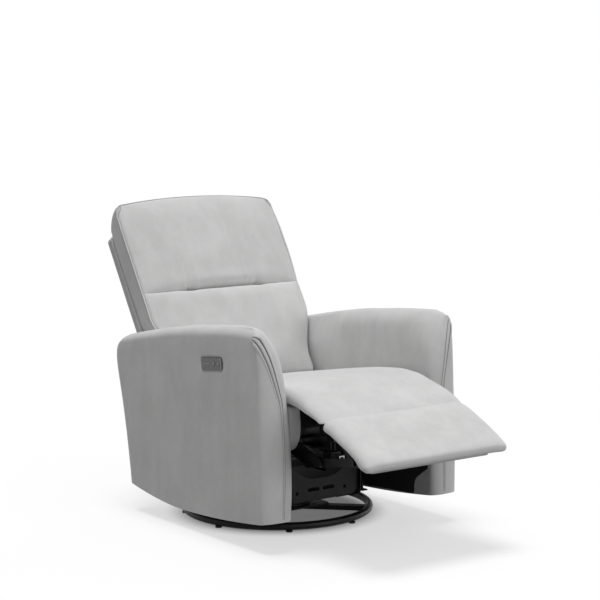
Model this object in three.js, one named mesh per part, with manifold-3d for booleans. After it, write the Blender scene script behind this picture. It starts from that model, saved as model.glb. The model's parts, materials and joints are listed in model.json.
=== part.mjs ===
// Swivel glider power recliner with a ring and star base, leg rest out and back tipped.
// Millimetres, +Z up, with the floor at z = 0. The chair faces -Y and is drawn about its swivel
// axis. At the end it is moved so that the origin lies on the floor under the middle of its box.
import * as THREE from "three";
import { mergeVertices } from "three/addons/utils/BufferGeometryUtils.js";
import Module from "manifold-3d";

const wasm = await Module();
wasm.setup();

// Fits and gauges shared by all pieces
const fitGap = 0.3;
const runningGap = 0.8;
const plateGauge = 3.2;
const cutOverrun = 5;
const weldSink = 1;
const pinRadius = 6;
const boreRadius = pinRadius + runningGap;
const linkWidth = 26;
const rivetHead = 3;
const holeSides = 12;

// Widths across the chair
const chairWidth = 770;
const armWidth = 110;
const seatSideGap = 8;
const railToArm = 9;
const seatRailThick = 34;
const armInnerX = chairWidth / 2 - armWidth;
const seatHalf = armInnerX - seatSideGap;
const railOuterX = armInnerX - railToArm;
const railInnerX = railOuterX - seatRailThick;

// Side mechanism: flat links in layers, from the seat rail inwards
const layerGap = 2.8;
const linkGauge = 4;
const braceX = railInnerX - layerGap - linkGauge;
const frontLinkX = braceX - layerGap - linkGauge;
const rearLinkX = frontLinkX - layerGap - linkGauge;
const mechPlateX = rearLinkX - layerGap - plateGauge;

// Ring and star base
const ringRadius = 303;
const ringTube = 12.5;
const footHeight = 5;
const footRadius = 11;
const footCount = 8;
const footPhase = 16;
const ringZ = footHeight + fitGap + ringTube;
const starArmWidth = 34;
const starArmHeight = 15;
const starZ = ringZ - starArmHeight / 2 - weldSink;
const hubHalf = 125;
const hubCorner = 18;
const hubGauge = 6;
const hubZ = starZ + starArmHeight + fitGap;
const raceOuter = 108;
const raceInner = 62;
const raceHeight = 6;
const raceGroove = 2;
const raceGap = 1;
const kingPinRadius = 10;
const kingHeadRadius = 18;
const kingHeadHeight = 7;
const lowerRaceZ = hubZ + hubGauge + fitGap;
const turnPlateZ = lowerRaceZ + raceHeight + raceGap;

// Glider cradle, which turns with the chair, and its hanging links
const cradleGauge = 3.5;
const cradleHalfLength = 250;
const cradleZ = turnPlateZ + raceHeight + fitGap;
const cradleRise = 36;
const cradleTopZ = 222;
const cradleWaistZ = 150;
const glideLinkGauge = 4;
const glideGap = 4;
const glidePivotY = 215;
const glidePivotTopZ = 203;
const glideLinkLength = 98;
const glidePivotLowZ = glidePivotTopZ - glideLinkLength;
const trayWeb = 4;
const trayToMech = 36;
const trayX = mechPlateX - trayToMech - trayWeb;
const glideLinkX = trayX - glideGap - glideLinkGauge;
const cradleX = glideLinkX - glideGap - cradleGauge;
const trayHeight = 43;
const trayFlange = 22;
const trayTubeY = 100;
const trayTubeZ = 177;
const crossTube = 24;
const cradleHoleShares = { inner: 0.08, outer: 0.31, round: 0.62 };
const mechSlotShares = { waist: [0.7, 0.84], upper: [0.59, 0.83] };

// Seat: its own frame is pitched up towards the front
const seatPitch = 7.4;
const seatFrontY = -404;
const seatFrontZ = 484;
const seatLength = 521;
const seatPadDepth = 76;
const seatCrown = 22;
const seatFrontRound = 24;
const seatDraw = 4;
const seatEndShare = 0.55;
const deckGauge = 8;
const railNose = 16;
const seatRailFront = 110;
const seatRailRear = 78;
const seatRailRound = 57;
const seatRailLean = 16;
const crossRailHeight = 38;
const crossRailThick = 24;
const armPadLength = 300;
const armPadHeight = 60;
const pitch = THREE.MathUtils.degToRad(seatPitch);
const seatRearY = seatFrontY + seatLength * Math.cos(pitch);
const deckTop = -seatPadDepth - fitGap;
const crossRailTop = deckTop - deckGauge - fitGap;

// Leg rest, out: its pad lies in line with the seat, then dips
const flapThick = 26;
const restThick = 36;
const legDraw = 3;
const legCrown = 15;
const legBoard = 11;
const flapPitch = 19;
const flapGap = 12;
const flapLength = 178;
const flapHingeIn = 25;
const flapHingeDrop = 7.5;
const flapEarInset = 60;
const flapHingeX = rearLinkX - flapEarInset;
const flapKnuckle = 7;
const flapPin = 3.5;
const flapEarDepth = 30;
const restPitch = 26;
const restRearY = -606.4;
const restRearZ = 418;
const restLength = 224;
const boardMargin = 16;
const flapEndShares = { height: 0.7, rear: 0.08, front: 0.08 };
const restEndShares = { height: 0.5, rear: 0.06, front: 0.16 };

// Arms: outline heights and ends seen from the side
const armBeforeSeat = 66;
const armBehindSeat = 268;
const armAboveSeat = 195;
const armCrestIn = 67;
const armFrontY = seatFrontY - armBeforeSeat;
const armRearY = seatRearY + armBehindSeat;
const armCrestY = armFrontY + armCrestIn;
const armCrestZ = seatFrontZ + armAboveSeat;
const armDropIn = 113;
const armDrop = 88;
const armEase = 28;
const armEaseY = 0;
const armEaseBlend = 130;
const armBottomZ = 92;
const armBow = 33;
const armBowFront = 450;
const armBowRear = 290;
const linerGauge = 2.6;
const linerFrontIn = 98;
const linerNoseIn = 32;
const linerRearIn = 101;
const linerBelowSeat = 201;
const linerFrontY = armFrontY + linerFrontIn;
const linerNoseY = armFrontY + linerNoseIn;
const linerRearY = armRearY - linerRearIn;
const linerStepZ = 132;
const linerNoseZ = 178;
const linerTopZ = seatFrontZ - linerBelowSeat;
const linerRound = 42;

// Back: its own frame has s up the cushion's front from the cross seam and depth to the rear
const backLean = 31.9;
const seamBehindSeat = 199.3;
const seamAboveSeat = 225;
const backSeamY = seatRearY + seamBehindSeat;
const backSeamZ = seatFrontZ + seamAboveSeat;
const backTop = 347;
const backBow = 36;
const backBottom = -345;
const backOverArm = 43;
const backInsideArm = 17;
const backWide = armInnerX + backOverArm;
const backNarrow = armInnerX - backInsideArm;
const backEarFoot = -275;
const backEarRise = 205;
const backEarLagShare = 0.3;
const backPadDepth = 92;
const backDraw = 3;
const backTuckX = 136;
const backTuckReach = 46;
const backCrown = 34;
const backTaper = 14;
const backSwellShares = { foot: 0.22, head: 0.2 };
const seamFadeShare = 0.75;
const seamTuckShare = 0.5;
const seamDepth = 24;
const seamWidth = 36;
const shellDepth = 46;
const shellTop = 266;
const shellOverArm = 25;
const shellInsideArm = 21;
const shellWide = armInnerX + shellOverArm;
const shellNarrow = armInnerX - shellInsideArm;
const shellWall = 6;
const shellRound = 14;
const shellEarFoot = -170;
const shellEarRise = 75;
const backFrameWidth = 40;
const backFrameDepth = 22;
const backFrameInset = 16;
const backFrameHalf = shellNarrow - shellWall - backFrameInset;
const backSlatWidth = 30;
const backSlatCount = 3;
const lean = THREE.MathUtils.degToRad(backLean);

// Recline hinge in the back's lower corner
const reclineBehindSeat = 137.3;
const reclineBelowSeat = 104;
const reclineY = seatRearY + reclineBehindSeat;
const reclineZ = seatFrontZ - reclineBelowSeat;
const backBracketX = railOuterX - plateGauge - fitGap;
const reclineBracketX = railOuterX + fitGap;

// Leg rest linkage, at rest with the leg rest out
const rearPivotIn = 154;
const rearPivotDrop = 154;
const rearPivotY = seatFrontY + rearPivotIn;
const rearPivotZ = seatFrontZ - rearPivotDrop;
const kneeSag = 54;
const restBracketIn = 110;
const restBracketDrop = 30;
const braceAhead = 69;
const braceAbove = 14;
const bracePivotY = rearPivotY - braceAhead;
const bracePivotZ = rearPivotZ + braceAbove;
const braceAlong = 70;
const driveTubeRadius = 11;
const crankRadius = 60;
const crankMid = 43.9;
const crankGauge = 10;
const crankPin = 4;
const crankSlotHalf = 7.5;
const crankHalfWidth = 13;

// Motor, rail and driving block under the seat
const railSize = 20;
const driveRailZ = 228;
const driveRailFrontY = -345;
const driveRailRearY = 128;
const strapFrontY = -132;
const strapRearY = 80;
const motorLength = 120;
const motorWidth = 74;
const motorHeight = 66;
const motorCanRadius = 27;
const blockLength = 46;
const blockWall = 7;
const inletWidth = 20;
const inletDepth = 14;
const inletWall = 5;

// Control plate on the sitter's right arm
const controlFrontIn = 281;
const controlBelowCrest = 131;
const controlY = armFrontY + controlFrontIn;
const controlZ = armCrestZ - controlBelowCrest;
const controlLength = 112;
const controlHeight = 44;
const controlGauge = 5;
const controlProud = 2;
const controlCorner = 9;
const controlTilt = 7;
const buttonRadius = 7;
const buttonPitch = 26;
const buttonProud = 1.6;
const buttonDepth = 3;
const portLength = 15;
const portHeight = 7;
const portDepth = 2.5;

const colours = {
  fabric: 0xb9b9b7,
  steel: 0x1b1b1c,
  wood: 0xb08d62,
  lining: 0x18181a,
  plastic: 0x2a2a2c,
  button: 0x8d8f92,
};

function paint(kind) {
  const metal = kind === "steel";
  return new THREE.MeshStandardMaterial({
    color: colours[kind],
    roughness: metal ? 0.42 : 0.85,
    metalness: metal ? 0.6 : 0,
  });
}

function node(name, geometry, kind) {
  const mesh = new THREE.Mesh(geometry, paint(kind));
  mesh.name = name;
  return mesh;
}

// A closed geometry as a solid for joining and cutting
function solid(geometry) {
  const bare = geometry.clone();
  bare.deleteAttribute("normal");
  bare.deleteAttribute("uv");
  const merged = mergeVertices(bare, 1e-4);
  return new wasm.Manifold(
    new wasm.Mesh({
      numProp: 3,
      vertProperties: new Float32Array(merged.attributes.position.array),
      triVerts: new Uint32Array(merged.index.array),
    }),
  );
}

function geometryOf(shape) {
  const mesh = shape.getMesh();
  const geometry = new THREE.BufferGeometry();
  geometry.setAttribute("position", new THREE.BufferAttribute(mesh.vertProperties, mesh.numProp));
  geometry.setIndex(new THREE.BufferAttribute(mesh.triVerts, 1));
  return geometry;
}

function join(...geometries) {
  return geometryOf(geometries.map(solid).reduce((sum, next) => sum.add(next)));
}

function cut(body, ...tools) {
  return geometryOf(tools.map(solid).reduce((rest, tool) => rest.subtract(tool), solid(body)));
}

function box(x0, x1, y0, y1, z0, z1) {
  const geometry = new THREE.BoxGeometry(x1 - x0, y1 - y0, z1 - z0);
  return geometry.translate((x0 + x1) / 2, (y0 + y1) / 2, (z0 + z1) / 2);
}

// An outline with corners [across, up, radius] rounded by short curves, which take up no more than
// a share of the edges on either side
const cornerShare = 0.45;

function outline(corners) {
  const shape = new THREE.Shape();
  const vectors = corners.map(([a, b]) => new THREE.Vector2(a, b));
  corners.forEach(([a, b, radius = 0], i) => {
    const corner = vectors[i];
    const before = vectors[(i + corners.length - 1) % corners.length];
    const after = vectors[(i + 1) % corners.length];
    const shortest = Math.min(corner.distanceTo(before), corner.distanceTo(after));
    const reach = Math.min(radius, cornerShare * shortest);
    const back = before.clone().sub(corner).setLength(reach).add(corner);
    const ahead = after.clone().sub(corner).setLength(reach).add(corner);
    if (i === 0) shape.moveTo(back.x, back.y);
    else shape.lineTo(back.x, back.y);
    if (reach > 0) shape.quadraticCurveTo(a, b, ahead.x, ahead.y);
  });
  shape.closePath();
  return shape;
}

// A round hole, faceted outside its circle
function roundHole(a, b, radius) {
  const points = [];
  for (let i = 0; i < holeSides; i += 1) {
    const turn = (-2 * Math.PI * i) / holeSides;
    const reach = radius / Math.cos(Math.PI / holeSides);
    points.push(new THREE.Vector2(a + reach * Math.cos(turn), b + reach * Math.sin(turn)));
  }
  return new THREE.Path(points);
}

function slotHole(a0, b0, a1, b1, radius) {
  const turn = Math.atan2(b1 - b0, a1 - a0);
  const hole = new THREE.Path();
  hole.absarc(a1, b1, radius, turn + Math.PI / 2, turn - Math.PI / 2, true);
  hole.absarc(a0, b0, radius, turn - Math.PI / 2, turn - 1.5 * Math.PI, true);
  return hole;
}

function barShape(a0, b0, a1, b1, radius) {
  const turn = Math.atan2(b1 - b0, a1 - a0);
  const shape = new THREE.Shape();
  shape.absarc(a1, b1, radius, turn - Math.PI / 2, turn + Math.PI / 2, false);
  shape.absarc(a0, b0, radius, turn + Math.PI / 2, turn + 1.5 * Math.PI, false);
  return shape;
}

// A side plate: an outline in (y, z), thick from x0 to x1
function sidePlate(shape, x0, x1, curveSegments = 3) {
  const geometry = new THREE.ExtrudeGeometry(shape, { depth: x1 - x0, bevelEnabled: false, curveSegments });
  const turn = new THREE.Matrix4().makeBasis(
    new THREE.Vector3(0, 1, 0),
    new THREE.Vector3(0, 0, 1),
    new THREE.Vector3(1, 0, 0),
  );
  return geometry.applyMatrix4(turn).translate(x0, 0, 0);
}

// A front plate: an outline in (x, z), thick from y0 to y1
function frontPlate(shape, y0, y1, curveSegments = 3) {
  const geometry = new THREE.ExtrudeGeometry(shape, { depth: y1 - y0, bevelEnabled: false, curveSegments });
  return geometry.rotateX(Math.PI / 2).translate(0, y1, 0);
}

function flatPlate(shape, z0, z1, curveSegments = 3) {
  const geometry = new THREE.ExtrudeGeometry(shape, { depth: z1 - z0, bevelEnabled: false, curveSegments });
  return geometry.translate(0, 0, z0);
}

// A round pin along X
function pin(y, z, x0, x1, radius, sides = 12) {
  const low = Math.min(x0, x1);
  const geometry = new THREE.CylinderGeometry(radius, radius, Math.abs(x1 - x0), sides);
  return geometry.rotateZ(Math.PI / 2).translate(low + Math.abs(x1 - x0) / 2, y, z);
}

// A closed skin over rings of points. The end rings close as fans about their middle or, given the
// index of a tip, as strips that run back from that tip.
function loft(rings, tip) {
  const count = rings[0].length;
  const points = rings.flat();
  const faces = [];
  rings.slice(1).forEach((ring, i) => {
    ring.forEach((unused, k) => {
      const a = i * count + k;
      const b = i * count + ((k + 1) % count);
      faces.push(a, b, b + count, a, b + count, a + count);
    });
  });
  [0, rings.length - 1].forEach((which) => {
    const at = (k) => which * count + ((k + count) % count);
    const put = (a, b, c) => (which === 0 ? faces.push(a, c, b) : faces.push(a, b, c));
    if (tip === undefined) {
      const middle = rings[which].reduce((sum, p) => sum.add(p), new THREE.Vector3());
      points.push(middle.divideScalar(count));
      rings[which].forEach((unused, k) => put(points.length - 1, at(k), at(k + 1)));
      return;
    }
    put(at(tip), at(tip + 1), at(tip - 1));
    for (let j = 1; j < (count - 1) / 2; j += 1) {
      put(at(tip - j), at(tip + j), at(tip + j + 1));
      put(at(tip - j), at(tip + j + 1), at(tip - j - 1));
    }
  });
  const geometry = new THREE.BufferGeometry().setFromPoints(points);
  geometry.setIndex(faces);
  if (solid(geometry).volume() < 0) {
    for (let i = 0; i < faces.length; i += 3) [faces[i + 1], faces[i + 2]] = [faces[i + 2], faces[i + 1]];
    geometry.setIndex(faces);
  }
  return geometry;
}

const smooth = (t) => {
  const c = Math.min(1, Math.max(0, t));
  return c * c * (3 - 2 * c);
};

// Ring base
function ringBase() {
  const group = new THREE.Group();
  const ring = new THREE.TorusGeometry(ringRadius, ringTube, 10, 64).translate(0, 0, ringZ);
  group.add(node("base_ring", ring, "steel"));
  const ringCut = new THREE.TorusGeometry(ringRadius, ringTube + fitGap, 10, 64).translate(0, 0, ringZ);
  const bars = [1, -1].map((side) =>
    box(-ringRadius, ringRadius, -starArmWidth / 2, starArmWidth / 2, starZ, starZ + starArmHeight).rotateZ(
      (side * Math.PI) / 4,
    ),
  );
  group.add(node("star_arms", cut(join(...bars), ringCut), "steel"));
  for (let i = 0; i < footCount; i += 1) {
    const turn = THREE.MathUtils.degToRad(footPhase + (360 / footCount) * i);
    const foot = new THREE.CylinderGeometry(footRadius, footRadius, footHeight, 12)
      .rotateX(Math.PI / 2)
      .translate(ringRadius * Math.cos(turn), ringRadius * Math.sin(turn), footHeight / 2);
    group.add(node(`ring_foot_${i + 1}`, foot, "plastic"));
  }
  const square = [
    [-hubHalf, -hubHalf, hubCorner],
    [hubHalf, -hubHalf, hubCorner],
    [hubHalf, hubHalf, hubCorner],
    [-hubHalf, hubHalf, hubCorner],
  ];
  group.add(node("hub_plate", flatPlate(outline(square), hubZ, hubZ + hubGauge), "steel"));
  group.add(node("lower_race", race(lowerRaceZ, 1), "steel"));
  const pinFoot = hubZ + hubGauge + fitGap;
  const headZ = cradleZ + cradleGauge + runningGap;
  const kingPin = join(
    new THREE.CylinderGeometry(kingPinRadius, kingPinRadius, headZ - pinFoot, 20)
      .rotateX(Math.PI / 2)
      .translate(0, 0, (headZ + pinFoot) / 2),
    new THREE.CylinderGeometry(kingHeadRadius, kingHeadRadius, kingHeadHeight, 6)
      .rotateX(Math.PI / 2)
      .translate(0, 0, headZ + kingHeadHeight / 2 - fitGap / 2),
  );
  group.add(node("king_pin", kingPin, "steel"));
  return group;
}

// A bearing race: a flat ring with a ball groove in its top (up = 1) or bottom (up = -1)
function race(z, up) {
  const open = up > 0 ? z + raceHeight : z;
  const shut = up > 0 ? z : z + raceHeight;
  const mid = (raceOuter + raceInner) / 2;
  const profile = [
    [raceInner, shut],
    [raceOuter, shut],
    [raceOuter, open],
    [mid + 2 * raceGroove, open],
    [mid + raceGroove, open - up * raceGroove],
    [mid - raceGroove, open - up * raceGroove],
    [mid - 2 * raceGroove, open],
    [raceInner, open],
    [raceInner, shut],
  ];
  const points = (up > 0 ? profile : profile.reverse()).map(([r, h]) => new THREE.Vector2(r, h));
  return new THREE.LatheGeometry(points, 40).rotateX(Math.PI / 2);
}

// Turntable and cradle, in which the chair hangs on four links
function turntable() {
  const group = new THREE.Group();
  group.add(node("upper_race", race(turnPlateZ, -1), "steel"));
  const outer = cradleX + cradleGauge;
  const lowZ = cradleZ + cradleRise;
  const half = cradleHalfLength;
  const side = outline([
    [-hubHalf, cradleZ, 8 * fitGap],
    [hubHalf, cradleZ, 8 * fitGap],
    [half, lowZ, 4 * cradleGauge],
    [half, cradleTopZ, 4 * cradleGauge],
    [glidePivotY - linkWidth, cradleTopZ, 4 * cradleGauge],
    [glidePivotY - 2 * linkWidth, cradleWaistZ, 6 * cradleGauge],
    [-glidePivotY + 2 * linkWidth, cradleWaistZ, 6 * cradleGauge],
    [-glidePivotY + linkWidth, cradleTopZ, 4 * cradleGauge],
    [-half, cradleTopZ, 4 * cradleGauge],
    [-half, lowZ, 4 * cradleGauge],
  ]);
  [1, -1].forEach((end) => side.holes.push(roundHole(end * glidePivotY, glidePivotTopZ, boreRadius)));
  const slotZ = cradleWaistZ - crossTube;
  side.holes.push(slotHole(-hubHalf / 2, slotZ, hubHalf / 2, slotZ, pinRadius));
  const sides = [sidePlate(side, cradleX, outer), sidePlate(side, -outer, -cradleX)];
  const floor = flatPlate(
    outline([
      [-outer, -hubHalf + cutOverrun, cutOverrun],
      [outer, -hubHalf + cutOverrun, cutOverrun],
      [outer, hubHalf - cutOverrun, cutOverrun],
      [-outer, hubHalf - cutOverrun, cutOverrun],
    ]),
    cradleZ,
    cradleZ + cradleGauge,
  );
  const endPlate = (end) => {
    const face = outline([
      [-outer, lowZ + crossTube],
      [-outer + crossTube, lowZ, crossTube / 2],
      [outer - crossTube, lowZ, crossTube / 2],
      [outer, lowZ + crossTube],
      [outer, cradleTopZ - 4 * cradleGauge],
      [outer - crossTube, cradleTopZ - crossTube, crossTube / 2],
      [outer / 3, cradleWaistZ, crossTube],
      [-outer / 3, cradleWaistZ, crossTube],
      [-outer + crossTube, cradleTopZ - crossTube, crossTube / 2],
      [-outer, cradleTopZ - 4 * cradleGauge],
    ]);
    const holeZ = (lowZ + cradleWaistZ) / 2;
    const near = cradleHoleShares.inner * outer;
    const far = cradleHoleShares.outer * outer;
    face.holes.push(slotHole(near, holeZ, far, holeZ, pinRadius));
    face.holes.push(slotHole(-far, holeZ, -near, holeZ, pinRadius));
    [1, -1].forEach((turn) => {
      face.holes.push(roundHole(turn * cradleHoleShares.round * outer, holeZ - pinRadius, pinRadius));
    });
    const at = end * (half - 4 * cradleGauge);
    return frontPlate(face, at - cradleGauge / 2, at + cradleGauge / 2);
  };
  const bore = new THREE.CylinderGeometry(
    kingPinRadius + runningGap,
    kingPinRadius + runningGap,
    4 * cradleGauge,
    20,
  )
    .rotateX(Math.PI / 2)
    .translate(0, 0, cradleZ + cradleGauge / 2);
  group.add(node("glider_cradle", cut(join(...sides, floor, endPlate(1), endPlate(-1)), bore), "steel"));
  return group;
}

// Four hanging links, each with its rivets
function glideLinks() {
  const group = new THREE.Group();
  const ends = { front: -1, rear: 1 };
  Object.entries(ends).forEach(([end, way]) => {
    [1, -1].forEach((side) => {
      const y = way * glidePivotY;
      const x0 = side > 0 ? glideLinkX : -glideLinkX - glideLinkGauge;
      const bar = sidePlate(
        barShape(y, glidePivotTopZ, y, glidePivotLowZ, linkWidth / 2),
        x0,
        x0 + glideLinkGauge,
        6,
      );
      const inside = side * (cradleX - rivetHead);
      const outside = side * (trayX + trayWeb + rivetHead);
      const middle = side * (glideLinkX + glideLinkGauge / 2);
      const upper = pin(y, glidePivotTopZ, middle, inside, pinRadius);
      const lower = pin(y, glidePivotLowZ, middle, outside, pinRadius);
      group.add(node(`glide_link_${end}_${side > 0 ? "left" : "right"}`, join(bar, upper, lower), "steel"));
    });
  });
  return group;
}

// Welded tray under the seat: angle rails on the glide links, with shoulders that carry two cross
// tubes over the cradle's waist
function glideTray() {
  const low = glidePivotLowZ - trayHeight / 2;
  const railTop = low + trayHeight;
  const shoulderTop = trayTubeZ + crossTube;
  const endY = glidePivotY + linkWidth;
  const rearHalf = [
    [endY, low],
    [endY, railTop, trayHeight / 3],
    [trayTubeY + 2 * crossTube, railTop, crossTube],
    [trayTubeY + crossTube, shoulderTop, crossTube / 2],
    [trayTubeY - crossTube, shoulderTop, crossTube / 2],
    [trayTubeY - 2 * crossTube, railTop, crossTube],
  ];
  const frontHalf = rearHalf.map(([y, z, radius]) => [-y, z, radius]).reverse();
  const rails = [1, -1].map((side) => {
    const web = outline([...rearHalf, ...frontHalf]);
    [1, -1].forEach((end) => web.holes.push(roundHole(end * glidePivotY, glidePivotLowZ, boreRadius)));
    const x0 = side > 0 ? trayX : -trayX - trayWeb;
    const flange = side > 0 ? [trayX, trayX + trayFlange] : [-trayX - trayFlange, -trayX];
    return join(
      sidePlate(web, x0, x0 + trayWeb),
      box(flange[0], flange[1], -endY, endY, low, low + trayWeb),
    );
  });
  const tubes = [1, -1].map((end) => {
    const x = mechPlateX - fitGap;
    const y0 = end * trayTubeY - crossTube / 2;
    return box(-x, x, y0, y0 + crossTube, trayTubeZ - crossTube / 2, trayTubeZ + crossTube / 2);
  });
  return node("glide_tray", join(...rails, ...tubes), "steel");
}

// Height of the seat frame's line h above the pad's edge plane, at a place y
function seatLine(y, h) {
  return seatFrontZ - (y - seatFrontY) * Math.tan(pitch) + h / Math.cos(pitch);
}

// Pressed side plates that carry the seat and the leg rest links
function mechPlate(side) {
  const low = trayTubeZ - crossTube;
  const sillFrontY = -glidePivotY + linkWidth;
  const sillRearY = trayTubeY + crossTube;
  const top = (y) => seatLine(y, crossRailTop - crossRailHeight - fitGap);
  const high = (y) => seatLine(y, crossRailTop - fitGap);
  const noseY = seatFrontY + railNose;
  const heelY = seatFrontY + seatLength - crossRailThick;
  const riseY = noseY + crossRailThick;
  const fallY = heelY - 2 * crossRailThick;
  const face = outline([
    [sillFrontY, low, pinRadius],
    [sillRearY, low, pinRadius],
    [sillRearY, low + 2 * crossTube, crossTube],
    [heelY, top(heelY), pinRadius],
    [fallY + crossRailThick, top(fallY + crossRailThick), pinRadius],
    [fallY, high(fallY), pinRadius],
    [riseY, high(riseY), pinRadius],
    [riseY, top(riseY), pinRadius / 2],
    [noseY, top(noseY), pinRadius],
    [noseY, top(noseY) - crossRailHeight, crossTube],
    [rearPivotY - linkWidth, rearPivotZ - 3 * linkWidth, crossTube],
  ]);
  face.holes.push(roundHole(rearPivotY, rearPivotZ, driveTubeRadius + runningGap));
  const along = (share) => noseY + share * (heelY - noseY);
  const waist = (low + rearPivotZ) / 2;
  const [waistFront, waistRear] = mechSlotShares.waist.map(along);
  face.holes.push(slotHole(waistFront, waist, waistRear, waist, crossTube));
  const upper = (y) => top(y) - linkWidth / 2;
  const [upperFront, upperRear] = mechSlotShares.upper.map(along);
  const [frontZ, rearZ] = [upper(upperFront), upper(upperRear)];
  face.holes.push(slotHole(upperFront, frontZ, upperRear, rearZ, linkWidth / 2));
  const x0 = side > 0 ? mechPlateX : -mechPlateX - plateGauge;
  const plate = sidePlate(face, x0, x0 + plateGauge);
  const bracePin = pin(
    bracePivotY,
    bracePivotZ,
    side * (mechPlateX + plateGauge / 2),
    side * (braceX + linkGauge + rivetHead / 2),
    pinRadius,
  );
  return node(`mech_plate_${side > 0 ? "left" : "right"}`, join(plate, bracePin), "steel");
}

// A pad: rings across it at stations along it. place(x, lift, along) puts a point of the pad.
// half(v), edge(v) and crown(x, v) give its half width, side height and crown at the share v, and
// lowHalf(v, down) its half width at the share down of its side.
function pad({ stations, across, length, draw, half, edge, crown, place, lowHalf = half }) {
  const rings = stations.map((v) => {
    const along = v * length;
    const ring = [];
    for (let i = 0; i <= across; i += 1) {
      const x = -Math.cos((Math.PI * i) / across);
      ring.push(place(x * half(v), edge(v) + crown(x, v), along));
    }
    ring.push(place(lowHalf(v, 0.5) - draw, edge(v) / 2, along));
    ring.push(place(lowHalf(v, 1), 0, along));
    ring.push(place(-lowHalf(v, 1), 0, along));
    ring.push(place(-lowHalf(v, 0.5) + draw, edge(v) / 2, along));
    return ring;
  });
  return rings;
}

// Stations closer together where the ends round off
const endStationShares = [0, 0.015, 0.05, 0.11, 0.2, 0.32, 0.44, 0.56, 0.68, 0.8, 0.89, 0.95, 0.985, 1];

// How far an end's rounding has risen at v, for ends that round over the shares first and last
function endRise(v, first, last) {
  const rise = (share) => Math.sqrt(Math.max(0, 1 - (1 - Math.min(1, share)) ** 2));
  return Math.min(first > 0 ? rise(v / first) : 1, last > 0 ? rise((1 - v) / last) : 1);
}

// A share that starts at startShare and reaches 1 as the rise does
const risen = (startShare, rise) => startShare + (1 - startShare) * rise;
const padEnds = (v, ends) => risen(ends.height, endRise(v, ends.rear, ends.front));

function crownOf(height) {
  return (x, v) => {
    const swell = Math.sin(Math.PI * Math.min(1, Math.max(0, v))) ** 0.5;
    return height * Math.max(0, 1 - Math.abs(x) ** 2.6) * swell;
  };
}

// The flap's hinge in the chair and in the seat's frame (along it from its front, above its edge)
const flapStartY = seatFrontY - flapGap;
const flapStartZ = seatLine(flapStartY, 0);
const flapTurn = THREE.MathUtils.degToRad(flapPitch);
const flapDrop = flapThick + fitGap + legBoard + flapHingeDrop;
const flapHingeY = flapStartY - flapHingeIn * Math.cos(flapTurn) + flapDrop * Math.sin(flapTurn);
const flapHingeZ = flapStartZ - flapHingeIn * Math.sin(flapTurn) - flapDrop * Math.cos(flapTurn);
const earAlong = (flapHingeY - seatFrontY) * Math.cos(pitch) - (flapHingeZ - seatFrontZ) * Math.sin(pitch);
const earLift = (flapHingeY - seatFrontY) * Math.sin(pitch) + (flapHingeZ - seatFrontZ) * Math.cos(pitch);

// An ear on the seat frame's front rail, which reaches round the cushion's edge to the flap's pin
function seatEar(side) {
  const under = crossRailTop - fitGap;
  const face = outline([
    [railNose + weldSink, under],
    [earAlong + flapKnuckle, under, flapPin],
    [earAlong + flapKnuckle, earLift + flapKnuckle, flapKnuckle],
    [earAlong - flapKnuckle, earLift + flapKnuckle, flapKnuckle],
    [earAlong + flapPin, under - flapEarDepth, flapKnuckle],
    [railNose + weldSink, under - flapEarDepth],
  ]);
  face.holes.push(roundHole(earAlong, earLift, flapPin + runningGap));
  const x0 = side > 0 ? flapHingeX : -flapHingeX - linkGauge;
  return sidePlate(face, x0, x0 + linkGauge);
}

function seat() {
  const group = new THREE.Group();
  group.position.set(0, seatFrontY, seatFrontZ);
  group.rotation.x = -pitch;
  const frontShare = seatFrontRound / seatLength;
  const cushion = loft(
    pad({
      stations: endStationShares,
      across: 10,
      length: seatLength,
      draw: seatDraw,
      half: () => seatHalf,
      edge: (v) => seatPadDepth * risen(seatEndShare, endRise(v, frontShare, frontShare / 2)),
      crown: crownOf(seatCrown),
      place: (x, lift, along) => new THREE.Vector3(x, along, lift - seatPadDepth),
    }),
  );
  group.add(node("seat_cushion", cushion, "fabric"));
  const deckEnd = seatLength - crossRailThick;
  const deckHalf = railInnerX - fitGap;
  const deck = box(-deckHalf, deckHalf, railNose, deckEnd, deckTop - deckGauge, deckTop);
  group.add(node("seat_deck", deck, "lining"));
  const railSide = outline([
    [-railNose, deckTop, pinRadius],
    [seatRailLean - railNose, deckTop - seatRailFront, seatRailRound],
    [seatLength / 2, deckTop - seatRailFront, seatRailRound],
    [seatLength, deckTop - seatRailRear, pinRadius],
    [seatLength, deckTop, 0],
  ]);
  const rails = [1, -1].map((side) => {
    const x0 = side > 0 ? railInnerX : -railOuterX;
    const padX = side > 0 ? railOuterX - weldSink : -armInnerX + fitGap;
    return join(
      sidePlate(railSide, x0, x0 + seatRailThick, 4),
      box(padX, padX + railToArm + weldSink - fitGap, railNose, railNose + armPadLength,
        deckTop - armPadHeight - railNose, deckTop - railNose),
    );
  });
  const inside = railInnerX + weldSink;
  const cross = [railNose, seatLength - crossRailThick].map((at) =>
    box(-inside, inside, at, at + crossRailThick, crossRailTop - crossRailHeight, crossRailTop),
  );
  const ears = [1, -1].map((side) => seatEar(side));
  group.add(node("seat_frame", join(...rails, ...cross, ...ears), "fabric"));
  return group;
}

// Arm: layers between its bowed lower edge and its rising crest
function armTop(y) {
  const share = Math.max(0, (y - armCrestY) / (armRearY - armDropIn - armCrestY));
  return armCrestZ - armDrop * share ** 1.65;
}

function armBottom(y) {
  const share = y > 0 ? y / armBowRear : -y / armBowFront;
  return armBottomZ - armBow * (1 - share ** 1.8);
}

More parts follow.
